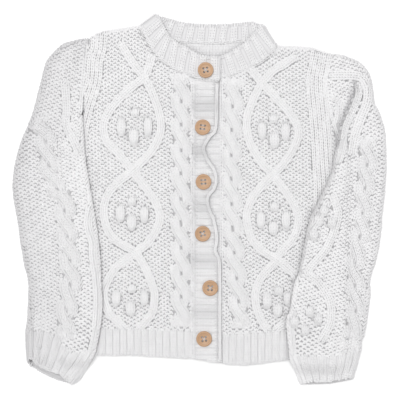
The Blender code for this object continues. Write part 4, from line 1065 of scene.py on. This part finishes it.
        # How far inside the fold, which way up it faces, its level, and how far an open cuff lifts it
        for k, (inward, angle, level, opened) in enumerate(((0.1, -0.1, 2.6, 0.5), (0.8, 0.7, 3.7, 1.0))):
            places, ways = at(fold, np.arange(start + 0.5 * row * k, stop, row))
            out = left_of(ways) * -hand
            spots = places - out * inward
            normals = np.column_stack([out * math.cos(angle), np.full(len(out), math.sin(angle))])
            heights = self.lift(spots) + level + opened * self.mouth(spots)
            found.append((np.column_stack([spots, heights]), normals, flat_up(-ways)))
        return gathered(*found)


def knit_sleeve(name, hand, sides, features, cuff_line, guide, gape, **shape):
    """A sleeve with the ribs of its cuff, all its stitches, and the seams that hold it."""
    outer_x, inner_x = cuff_line[0][0] - 12 * hand, cuff_line[-1][0] + 12 * hand
    zone = np.array([(outer_x, cuff_line[0][1]), *cuff_line[1:-1], (inner_x, cuff_line[-1][1]),
                     (inner_x, -195), (outer_x, -195)], float)
    ribs = ribs_between(cuff_line, sides[2], pitch=6.4, width=6.0, rise=1.1)
    inner_side = beside(straight(sides[1][-6:], 3.0), -3.4 * hand)
    ribs.append(Strand(inner_side, width=5.0, rise=1.0, row=2.5, bend=False))
    sleeve = Sleeve(name, sides, [*features, *ribs], hand=hand, ribbed=[zone], gape=gape, **shape)
    piece = sleeve.tube()

    mouth = sleeve.grid(np.linspace(0, 1, 25), MOUTH_SHORT * gape)[-1]
    knitted = sleeve.raised(1.0, lambda spots: near(spots, mouth)[2] * hand > 0.9)
    joined = seam(sleeve.armhole, lambda spots: sleeve.lift(spots) + 2 * SLEEVE_HALF + 0.3)
    cast_off = seam(mouth[inset(mouth, sleeve.outline) > 2.5][::-hand] - sleeve.run * 0.9,
                    lambda spots: sleeve.top(spots) + 0.2, wide=2.6, tall=2.6)
    folds = [(fold, side, walked(fold)[-1]) for fold, side in ((sleeve.outer, hand), (sleeve.inner, -hand))]
    cuff_sides = []
    for fold, side, whole in folds:
        made = sleeve.side_stitches(fold, side, 2.6, whole - CUFF_DEPTH, whole - 1.6)
        cuff_sides.append((*made, np.tile([3.4, 2.6], (len(made[0]), 1))))
    # The knit side of the lower layer, seen in the mouth: four rows of stitches in 22 columns
    columns = np.swapaxes(sleeve.grid((np.arange(22) + 0.5) / 22)[:-10:-1], 0, 1)
    spots, deeper = gathered(*(at(column, np.array([1.6, 4.3, 7.0, 9.7])) for column in columns))
    inside = (np.column_stack([spots, sleeve.lift(spots) + 1.9]), np.tile([0.0, 0.0, 1.0], (len(spots), 1)),
              flat_up(deeper), np.tile([3.0, 2.7], (len(spots), 1)))
    chosen = gathered(knitted, joined, cast_off, *cuff_sides, inside)
    painted_shade = sleeve.painted_shade(chosen[0][:, :2])
    # The knit side inside the mouth is painted in shade
    painted_shade[-len(spots):] = 0.4
    cables = stitched(name + "_cables", KNIT, *chosen, painted_shade, seed=7)

    spacing = (3.6, 3.75)
    edges = [sleeve.side_stitches(fold, side, spacing[1], 4.0, whole - CUFF_DEPTH)
             for fold, side, whole in folds]
    moss = sleeve.moss(guide, reach=60, spacing=spacing, loop=(3.9, 3.1), thickness=2.2, seed=9, edge=1.2,
                       more=edges)
    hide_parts(name)
    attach(piece, "root")


# Each sleeve's shadows are painted shade: grey along and towards its outer fold, in its folds and along its
# inner edge
knit_sleeve(
    "right_sleeve", hand=1, sides=(RIGHT_OUTER, RIGHT_INNER, RIGHT_CUFF, RIGHT_ARMHOLE), features=[
        Rope(RIGHT_SLEEVE_ROPE, width=21.0, rise=3.2),
        *(Strand(path, width=8.0, rise=1.5) for path in RIGHT_SLEEVE_STRANDS),
    ],
    cuff_line=[(-168, -125), (-148, -127), (-136, -133), (-121, -147), (-106, -145), (-95, -137)],
    guide=[(-128, 160), (-134, 110), (-141, 60), (-140, 20), (-134, -40), (-131, -100), (-133, -135),
           (-143, -172)],
    lift_from=(84.0, 106.0), gape=1.0, notch=(0.3, 0.06, 4.5),
    crumple=[(-116.5, 142, 7, 6, 2.6), (-121, 118, 5, 16, -1.8), (-113, 60, 6, 10, 1.0),
             (-150, 100, 9, 20, 0.8)],
    folds=[([(-161, -96), (-159, -120), (-154, -144), (-151, -162)], 1.6, 6.0)],
    shadows=[(RIGHT_OUTER, 9.0, 0.44), (RIGHT_OUTER, 36.0, 0.2), ([(-154, -140), (-152.5, -158)], 2.0, 0.35)])
knit_sleeve(
    "left_sleeve", hand=-1, sides=(LEFT_OUTER, LEFT_INNER, LEFT_CUFF, LEFT_ARMHOLE), features=[
        Rope(LEFT_SLEEVE_ROPE, width=20.0, rise=3.0),
        *(Strand(path, width, rise) for path, (width, rise) in zip(
            LEFT_SLEEVE_STRANDS, ((7.6, 1.6), (7.6, 1.4), (9.0, 1.3), (6.6, 1.0), (8.0, 0.8), (5.0, 0.8)))),
        *(Bobble(x, y, 3.8, 4.8) for x, y in LEFT_SLEEVE_BOBBLES),
    ],
    cuff_line=[(159, -139), (125, -150), (84, -149)],
    guide=[(140, 145), (147, 100), (151, 50), (147, 0), (140, -50), (128, -110), (122, -140), (122, -180)],
    lift_from=(56.5, 76.0), gape=0.4, notch=(),
    crumple=[(143, 134, 14, 5, 1.6), (141, 101, 9, 6, -1.2), (134, 92, 6, 14, -1.2)],
    folds=[(CAP_FOLD, 3.0, 8.0)],
    shadows=[(CAP_FOLD, 2.6, 0.7), (LEFT_OUTER, 3.0, 0.15), (LEFT_INNER[:9], 2.4, 0.4)])


# --- Front bands ------------------------------------------------------------------------
# Two ribbed bands, picked up along the front edges and knitted sideways. The buttonhole band
# laps over the button band, and between the buttons its cord-like edge draws back in waves.

BAND_LEVELS = (3.3, 5.5)
BAND_RAMP = (-6.2, -2.0)  # the upper band climbs over the lower one between these x
BAND_CLIMB = 3.3
BAND_RIB_PITCH = 6.85
LAP_EDGE = [
    (18.2, 113), (17.6, 93), (17.4, 76), (15.8, 65), (11.0, 60), (6.2, 52.5), (5.3, 47.6), (9.1, 38),
    (14, 31), (16.8, 23), (16.8, 15), (14, 8.4), (9.2, 2.6), (9.1, -4.1), (12, -12.7), (15, -19.5),
    (17.8, -36.7), (16.2, -49.2), (19.2, -54.5), (20.6, -66), (20.7, -110), (21.0, -155),
]
LAP_REST = [(15, -154.5), (5, -153.7), (-6.5, -152.6), (-6.5, 118.6), (-1, 116.4), (6, 115.2), (12, 114.6)]
UNDER_BAND = [(-1.2, 114.4), (-1.2, -153.6), (20.9, -157.0), (20.5, -20), (20.4, 114.6)]
# Where the upper band sinks between two buttons: y, half length, depth
BAND_SAGS = [(90, 7, 0.9), (46, 8, 1.0), (-6, 8, 0.9), (-58, 6, 0.8), (-108, 6, 0.6)]

lap_edge = smooth(LAP_EDGE, 2.0)
lap = np.vstack([lap_edge, np.array(LAP_REST)])


def climb(spots):
    """How much higher the upper band lies, on its way up over the lower one."""
    up = ease((spots[:, 0] - BAND_RAMP[0]) / (BAND_RAMP[1] - BAND_RAMP[0]))
    sag = sum(depth * np.exp(-((spots[:, 1] - y) / half) ** 2) for y, half, depth in BAND_SAGS)
    edge = ease(1 - near(spots, lap_edge)[0] / 6.0)
    return BAND_CLIMB * up - np.maximum(sag * up, 1.0 * edge)


def across_band(x_low, x_high):
    """Ribs across the front bands, from the seam to the edge."""
    ends = [[(x_high, y + 0.4 * math.sin(y)), (x_low, y)] for y in np.arange(-152.0, 112.0, BAND_RIB_PITCH)]
    return [Strand(pair, width=5.2, rise=0.9, row=2.6, bend=False, gap=0.2) for pair in ends]


# The buttons: x, y, underside, turn
BUTTONS = [
    (5.8, 123.4, 12.6, 10), (3.1, 69.1, 10.6, -8), (3.8, 17.0, 10.6, 4), (3.1, -32.4, 10.6, 12),
    (10.2, -84.2, 10.6, -5), (4.4, -132.7, 10.6, 6),
]
# Painted shade: on the wool behind each button's holes, and on the upper band where it sags between the
# buttons
painted_shade_behind_buttons = [([(x - 0.5, y), (x + 0.5, y)], 3.5, 1.0) for x, y, _, _ in BUTTONS]
painted_sag_shade = [([(-5, y), (14, y)], half * 1.1, depth * 0.36) for y, half, depth in BAND_SAGS]
bound = Strand(beside(smooth(LAP_EDGE, 3.0), -1.3)[1:-1], width=2.6, rise=1.5, lanes=1, row=2.2)
# The bands' shadows are painted shade: the lower band beside the upper band's edge, the upper band in its
# sags, behind the buttons and beside its edge
for name, outline, features, covers, lift, area, seam_path, seam_z, shadows in (
    ("button_band", UNDER_BAND, across_band(-1.0, 21.0), [lap], level_at(0.0), 0.0058,
     [(21.6, 118), (21, 112), (21, -20), (21.3, -156)], 5.7, [(lap_edge, 2.0, 0.35)]),
    ("buttonhole_band", lap, [*across_band(-6.0, 22.0), bound], [], climb, 0.0066,
     [(-6.6, 118), (-6.8, -152)], 5.9, [*painted_sag_shade, *painted_shade_behind_buttons, (beside(lap_edge, -3.4), 1.2, 0.35)]),
):
    band = Panel(name, outline, BAND_LEVELS, features, covers, [np.array(outline)], lift, 0.3, shadows)
    piece, cables = band.build(edge=0.4, seams=[seam(straight(seam_path, 4.0), level_at(seam_z))])
    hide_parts(name)
    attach(piece, "root")
    "back_cloth" if name == "button_band" else "button_band_cloth"


# --- Neckband ---------------------------------------------------------------------------
# A ribbed band picked up round the neck, folded in half and sewn down, so it is double. It turns
# over at each side of the neck and runs along the back, and its front end laps over the other.

NECK_HALF = 1.35  # half its thickness, up to the bottom of the furrows
NECK_RIB_RISE = 0.6
NECK_RIB = 10.4  # from rib to rib
NECK_LAP_Z, NECK_UNDER_Z = 9.6, 5.3  # the levels of its front end, and of the other end under it
NECK_ROW = 2.6  # from one knit stitch to the next
FRONT_LAP = [
    # sewn x, y, folded x, y, level of the middle
    (18.5, 115.4, 19.0, 137.0, NECK_LAP_Z), (5.3, 115.8, 6.2, 137.0, NECK_LAP_Z),
    (-1.5, 117.0, -0.5, 138.6, NECK_LAP_Z - 0.5), (-7.5, 119.6, -5.2, 142.0, 7.4),
    (-13, 121.6, -9.0, 144.4, 5.9), (-18, 123.3, -13.0, 146.6, 5.7), (-26, 127.2, -21.8, 151.4, 6.1),
    (-36.7, 134.6, -28.6, 156.4, 6.8), (-45.8, 145.6, -32.4, 162.6, 7.2),
]
BACK_NECK = [
    (-46, 159.0, -33.6, 175.4), (-33, 154.0, -26.0, 173.4), (-20.8, 152.4, -15.6, 170.4),
    (4, 151.2, 5.5, 168.8), (21, 150.7, 25.0, 168.8), (40, 153.2, 39.6, 170.2), (54, 150.8, 50.0, 171.4),
]
FRONT_UNDER = [
    (70.2, 142.2, 53.2, 162.0, 7.2), (60.4, 134.4, 48.8, 156.0, 6.8), (51.6, 129.6, 42.2, 150.2, 6.1),
    (45, 126, 35.6, 145.4, 5.6), (34.2, 121.6, 27.4, 140.6, NECK_UNDER_Z),
    (23.4, 118.1, 19.0, 137.2, NECK_UNDER_Z), (13, 116.4, 11.2, 136.2, NECK_UNDER_Z),
    (3.4, 116.2, 4.0, 136.0, NECK_UNDER_Z),
]
NECK_TURN = 2.5  # how far it stands out where it turns over, and half the way that it climbs there
# The folds at the sides: sewn x, y, folded x, y, side, first angle, how much the folded edge is drawn in
SIDE_FOLDS = ((-54.7, 164.0, -38.6, 176.0), 1, 0.0, 1.2), ((70.6, 147.0, 57.4, 168.0), -1, 180.0, 3.0)


def turn_over(line, hand, start, drawn):
    """The band's places as it turns over at a side of the neck."""
    sewn, folded = np.array(line[:2]), np.array(line[2:])
    along = (folded - sewn) / np.linalg.norm(folded - sewn)
    out = np.array([-along[1], along[0]]) * hand
    for turn in range(0, 181, 15):
        angle = math.radians(start + turn)
        shift = out * NECK_TURN * abs(math.sin(angle))
        corner = along * drawn * math.sin(math.radians(turn)) ** 2
        level = 2.1 + NECK_TURN * (1 + math.cos(angle))
        yield (*(sewn + shift), *(folded + shift - corner), level, start + turn)


stations = np.array([
    *((*row, 0.0) for row in FRONT_LAP), *turn_over(*SIDE_FOLDS[0]),
    *((*row, 2.0, 180.0) for row in BACK_NECK), *turn_over(*SIDE_FOLDS[1]),
    *((*row, 360.0) for row in FRONT_UNDER),
], float)
middles = np.column_stack([(stations[:, 0:2] + stations[:, 2:4]) / 2, stations[:, 4]])
reach = np.concatenate([[0.0], np.cumsum(np.linalg.norm(np.diff(middles, axis=0), axis=1))])
whole = reach[-1]
ribs = round(whole / NECK_RIB)


def neck_at(along):
    """So far along the neckband: its sewn edge, the direction and width across it, and where it faces."""
    *edges, level, turn = (np.interp(along, reach, column) for column in stations.T)
    sewn = np.column_stack([*edges[:2], level])
    across = np.column_stack([*edges[2:], level]) - sewn
    wide = np.linalg.norm(across, axis=1)
    across /= wide[:, None]
    side = np.cross(across, [0.0, 0.0, 1.0])
    turn = np.radians(turn)[:, None]
    return sewn, across, wide, np.array([0.0, 0.0, 1.0]) * np.cos(turn) - side * np.sin(turn)


def neck_rib(along):
    """The height of the ribs along the neckband, from 0 in a furrow to 1."""
    return np.clip(1.5 * np.sin(math.pi * along * ribs / whole) ** 2, 0, 1) ** 0.7


def painted_shade_behind_button(spots):
    """The painted shade on the neckband behind the holes of its button."""
    path, far, depth = painted_shade_behind_buttons[0]
    dark = depth * np.exp(-(near(spots[:, :2], np.array(path))[0] / far) ** 2)
    return np.where(spots[:, 2] > NECK_LAP_Z, dark, 0.0)


along = np.linspace(0, whole, ribs * 8 + 1)
sewn, across, wide, normal = neck_at(along)
half = NECK_HALF + NECK_RIB_RISE * neck_rib(along)[:, None]
# The section of the band: a shift across it, a share of its width, and a share of its half thickness
profile = [(-0.8, 0.0, 0.35), (0.3, 0.0, 0.8), (2.0, 0.0, 1.0)]
profile += [(0.0, share, 1.0) for share in (0.3, 0.5, 0.75)]
profile += [(-1.5 * (1 - math.sin(a)), 1.0, math.cos(a)) for a in np.linspace(0, math.pi, 9)]
profile += [(shift, share, -face) for shift, share, face in profile[5::-1]]
rings = [sewn + across * (shift + share * wide)[:, None] + normal * face * half
         for shift, share, face in profile]
around = len(rings)
corners = np.stack(rings, 1).reshape(-1, 3)
faces = []
for k in range(len(along) - 1):
    faces += ring_of_faces(k * around, (k + 1) * around, around)
faces += [list(range(around))[::-1], list(range(len(corners) - around, len(corners)))]
# The ground is painted in shade, more under the ribs than in the furrows, and behind the button
neckband = plain_mesh("neckband_cloth", corners, faces, lambda c: np.maximum(
    np.repeat(0.12 + neck_rib(along) * 0.45, around), painted_shade_behind_button(c)))

found = []


def neck_stitches(places, normals, ups, depth=0.0):
    """Some stitches more on the neckband, with the painted shade on their yarn."""
    found.append((places, normals, ups, np.full(len(places), depth)))


row = np.arange(1.5, 23.0, NECK_ROW)
for k in range(ribs):
    for lane in (-0.15, 0.15):
        sewn, across, wide, normal = neck_at(np.full(len(row), (k + 0.5 + lane) * whole / ribs))
        there = row < wide - 1.2
        for face in (1, -1):
            places = sewn + across * row[:, None] + normal * face * (NECK_HALF + NECK_RIB_RISE + 0.1)
            neck_stitches(places[there], (normal * face)[there], across[there])
    # Round the folded edge, on the rib and in the furrow beside it
    sewn, across, wide, normal = neck_at((k + np.array([0.35, 0.65, 0.9, 1.1])) * whole / ribs)
    level = NECK_HALF + NECK_RIB_RISE - np.array([0.5, 0.5, 0.7, 0.7])
    # Each angle round the edge, and the painted shade of its stitches
    for angle, depth in ((0.6, 0.1), (1.57, 0.2), (2.5, 0.2)):
        out = across * math.sin(angle) + normal * math.cos(angle)
        places = sewn + across * (wide - 1.9)[:, None] + out * level[:, None]
        neck_stitches(places, out, across * math.cos(angle) - normal * math.sin(angle), depth)
# Two chains along the sewn edge on each side
sewn, across, wide, normal = neck_at(np.arange(1.4, whole, 2.8))
for face in (1, -1):
    outwards = normal * face * 0.85 - across * 0.5
    neck_stitches(sewn + across * 0.3 + normal * face * 1.4, outwards, np.cross(normal, across))
    neck_stitches(sewn - across * 1.2 + normal * face * 0.5, outwards, np.cross(normal, across))
# The front end of the band is closed with a column of stitches, painted in light shade
row = np.arange(1.5, 21.0, NECK_ROW)
sewn, across, wide, normal = neck_at(np.zeros(len(row)))
end_way = np.cross(across, normal)
neck_stitches(sewn + across * row[:, None] + end_way * 0.3 + normal * 0.5, end_way * 0.75 + normal * 0.65,
              across, depth=0.1)

places, normals, ups, depths = gathered(*found)
depths = np.maximum(depths, painted_shade_behind_button(places))
# The faces that lie on cloth or on the table have none
seen = (places[:, 2] + normals[:, 2] > 1.3) & (normals[:, 2] > -0.3)
neck_knit = stitched("neckband_ribs", KNIT, places[seen], normals[seen], ups[seen],
                     np.tile([3.1, NECK_ROW], (seen.sum(), 1)), depths[seen], thickness=1.2, seed=11)
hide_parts("neckband")
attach(neckband, "root")


# --- Buttons ----------------------------------------------------------------------------
# Six turned beech buttons with a raised rim and four holes, sewn on with white thread, four of them
# with a cross. The first closes the neckband, the other five the front bands.

BUTTON_PROFILE = [
    # radius, height, from the middle of the underside round to the middle of the face
    (0.0, 0.0), (6.2, 0.0), (7.0, 0.35), (7.45, 1.0), (7.5, 1.9), (7.3, 2.6), (6.9, 2.95), (6.4, 3.0),
    (5.9, 2.85), (5.4, 2.5), (4.8, 2.25), (0.0, 2.15),
]
CROSSED = (1, 4, 5, 6)  # the others are sewn with two parallel stitches
BUTTON_CORE = 1.0  # the profile turns round an axis this far from its first point
HOLE_RADIUS, HOLE_SPREAD, BUTTON_FACE = 1.05, 1.75, 2.15
THREAD_THICKNESS = 0.5
# Along each stitch of thread: up out of one hole, over the face, and down the other
THREAD_RUN = (-0.84, -0.82, -0.66, -0.25, 0.25, 0.66, 0.82, 0.84)
BEECH_DARK, BEECH_LIGHT = (0.35, 0.200, 0.105, 1.0), (0.57, 0.365, 0.222, 1.0)

beech = Finish("beech", Roughness=0.5, Coat_Weight=0.12, Coat_Roughness=0.35)
grain = beech.node("ShaderNodeTexNoise", {}, {
    "Scale": 1.0, "Detail": 4.0, "Distortion": 0.6, "Vector": beech.node("ShaderNodeMapping", {}, {
        "Vector": beech.place(), "Scale": (90.0, 900.0, 90.0), "Rotation": (0.0, 0.0, 0.35)})})
beech.feed("Base Color", beech.mix(grain * 0.8 + beech.noise(160.0) * 0.3, BEECH_DARK, BEECH_LIGHT))
beech.bump(grain, 0.00012, 0.5)

thread = Finish("sewing_thread", Base_Color=(0.62, 0.58, 0.56, 1.0), Roughness=0.7)
thread.bump(thread.noise(5000.0), 0.0001, 0.5)

# A profile turned round an axis, and four holes drilled through it
turned = Pattern("turned_button", Core=("Float", 0.001), Sides=("Int", 56), Hole_Radius=("Float", 0.001),
                 Hole_Spread=("Float", 0.0018), Place=("Vector", None), Turn=("Vector", None),
                 Wood=("Material", None))
axis = turned.node("GeometryNodeCurvePrimitiveCircle", {}, {
    "Resolution": turned.given("Sides"), "Radius": turned.given("Core")}, "Curve")
body = turned.node("GeometryNodeCurveToMesh", {}, {"Curve": axis, "Profile Curve": turned.node(
    "GeometryNodeMeshToCurve", {}, {"Mesh": turned.given("Geometry")})})
body = turned.node("GeometryNodeMergeByDistance", {}, {"Geometry": body, "Distance": 1e-5})
drill = turned.node("GeometryNodeMeshCylinder", {}, {
    "Vertices": 14, "Radius": turned.given("Hole Radius"), "Depth": 0.02})
corners = turned.node("GeometryNodeMeshCircle", {}, {
    "Vertices": 4, "Radius": turned.given("Hole Spread") * math.sqrt(2)})
corners = turned.node("GeometryNodeTransform", {}, {"Geometry": corners, "Rotation": turned.node(
    "FunctionNodeEulerToRotation", {}, {"Euler": (0.0, 0.0, math.pi / 4)})})
drills = turned.node("GeometryNodeRealizeInstances", {}, {"Geometry": turned.node(
    "GeometryNodeInstanceOnPoints", {}, {"Points": corners, "Instance": drill})})
body = turned.node("GeometryNodeMeshBoolean", {"operation": "DIFFERENCE", "solver": "EXACT"}, {
    "Mesh 1": body, "Mesh 2": drills})
blunt = turned.node("FunctionNodeCompare", {"data_type": "FLOAT", "operation": "LESS_THAN"}, {
    0: turned.node("GeometryNodeInputMeshEdgeAngle", {}, {}), 1: math.radians(50)})
body = turned.node("GeometryNodeSetShadeSmooth", {"domain": "EDGE"}, {"Geometry": turned.node(
    "GeometryNodeSetShadeSmooth", {}, {"Geometry": body}), "Shade Smooth": blunt})
body = turned.node("GeometryNodeTransform", {}, {
    "Geometry": body, "Translation": turned.given("Place"), "Rotation": turned.node(
        "FunctionNodeEulerToRotation", {}, {"Euler": turned.given("Turn")})})
turned.end(body, turned.given("Wood"))

# A round thread along every chain of edges
threads = Pattern("threads", Thickness=("Float", 0.0006), Step=("Float", 0.0006), Sides=("Int", 5),
                  Wool=("Material", None))
run = threads.node("GeometryNodeMeshToCurve", {}, {"Mesh": threads.given("Geometry")})
run = threads.node("GeometryNodeCurveSplineType", {"spline_type": "CATMULL_ROM"}, {"Curve": run})
run = threads.node("GeometryNodeResampleCurve", {"mode": "LENGTH"}, {
    "Curve": run, "Length": threads.given("Step")})
round_profile = threads.node("GeometryNodeCurvePrimitiveCircle", {}, {
    "Resolution": threads.given("Sides"), "Radius": threads.given("Thickness") * 0.5}, "Curve")
run = threads.node("GeometryNodeCurveToMesh", {}, {
    "Curve": run, "Profile Curve": round_profile, "Fill Caps": True})
threads.end(threads.node("GeometryNodeSetShadeSmooth", {}, {"Geometry": run}), threads.given("Wool"))


def chains(name, paths):
    """Points and edges along some paths in millimetres."""
    data = bpy.data.meshes.new(name)
    starts = np.cumsum([0, *(len(path) for path in paths)])
    data.from_pydata([tuple(p) for p in np.vstack(paths) * MM], [
        (start + i, start + i + 1) for start, path in zip(starts, paths) for i in range(len(path) - 1)], [])
    return data


crosses = []
half_cross = HOLE_SPREAD * math.sqrt(2)
for number, (x, y, low, angle) in enumerate(BUTTONS, 1):
    outline = np.array([(radius - BUTTON_CORE, -height, 0.0) for radius, height in BUTTON_PROFILE])
    data = chains(f"button_{number}", [outline])
    button = turned.make(f"button_{number}_wood", data, Core=BUTTON_CORE * MM, Hole_Radius=HOLE_RADIUS * MM,
                         Hole_Spread=HOLE_SPREAD * MM, Place=(x * MM, y * MM, low * MM),
                         Turn=(0.0, 0.0, math.radians(angle)), Wood=beech.material)
    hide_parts(f"button_{number}")
    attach(button, "root")
    # Each stitch: its direction, how far it is from the middle, and half its length
    stitches = [(0, -HOLE_SPREAD, HOLE_SPREAD), (0, HOLE_SPREAD, HOLE_SPREAD)]
    if number in CROSSED:
        stitches = [(45, 0.0, half_cross), (135, 0.0, half_cross)]
    top = low + BUTTON_FACE + 0.2
    for way, aside, half in stitches:
        along = np.array([math.cos(math.radians(angle + way)), math.sin(math.radians(angle + way))])
        high = top + 0.3 + 0.25 * (way > 90)  # the second stitch of a cross lies on the first
        levels = (low - 0.5, top - 0.8, top, high, high, top, top - 0.8, low - 0.5)
        for lane in (-0.28, 0.28):  # the thread is double
            middle = np.array([x, y]) + left_of(along[None])[0] * (aside + lane)
            crosses.append(np.array([
                (*(middle + along * half * share), z) for share, z in zip(THREAD_RUN, levels)]))
sewing = threads.make("button_threads", chains("button_threads", crosses), Thickness=THREAD_THICKNESS * MM,
                      Step=0.6 * MM, Sides=5, Wool=thread.material)
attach(sewing, "root")


# --- Table, light and camera ------------------------------------------------------------
# The cardigan lies on a plain pale table under one large soft lamp and even light all round.

FLOOR_REACH, FLOOR_DROP = 3.0, 0.0003  # in metres, as all the lengths of this section but the lens's
LAMP_PLACE, LAMP_WIDE, LAMP_POWER = (-0.2, 0.3, 1.7), 0.9, 19.5
LIGHT_ALL_ROUND = 0.62
LENS, SENSOR = 85.0, 36.0
VIEW_MIDDLE = (0.0005, -0.00025, 0.006)
VIEW_WIDE = 0.384  # how much of the table the camera sees

data = bpy.data.meshes.new("table")
data.from_pydata([(x * FLOOR_REACH, y * FLOOR_REACH, 0) for x, y in ((-1, -1), (1, -1), (1, 1), (-1, 1))], [],
                 [(0, 1, 2, 3)])
table = bpy.data.objects.new("table", data)
table.location.z = -FLOOR_DROP
bpy.context.scene.collection.objects.link(table)
paint = Finish("table_top", Base_Color=(0.96, 0.96, 0.96, 1.0), Roughness=0.8)
data.materials.append(paint.material)

world = bpy.data.worlds.new("studio")
bpy.context.scene.world = world
world.use_nodes = True
world.node_tree.nodes["Background"].inputs["Color"].default_value = (1.0, 1.0, 1.0, 1.0)
world.node_tree.nodes["Background"].inputs["Strength"].default_value = LIGHT_ALL_ROUND

lamp = bpy.data.objects.new("soft_lamp", bpy.data.lights.new("soft_lamp", "AREA"))
lamp.data.size, lamp.data.energy = LAMP_WIDE, LAMP_POWER
lamp.location = LAMP_PLACE
lamp.rotation_euler = (-lamp.location).to_track_quat("-Z", "Y").to_euler()
bpy.context.scene.collection.objects.link(lamp)

camera = bpy.data.objects.new("camera", bpy.data.cameras.new("camera"))
camera.data.lens, camera.data.sensor_width = LENS, SENSOR
camera.location = VIEW_MIDDLE
camera.location.z += VIEW_WIDE * LENS / SENSOR
camera.data.clip_start, camera.data.clip_end = 0.05, 20.0
bpy.context.scene.collection.objects.link(camera)
bpy.context.scene.camera = camera
bpy.context.scene.view_settings.view_transform = "Standard"
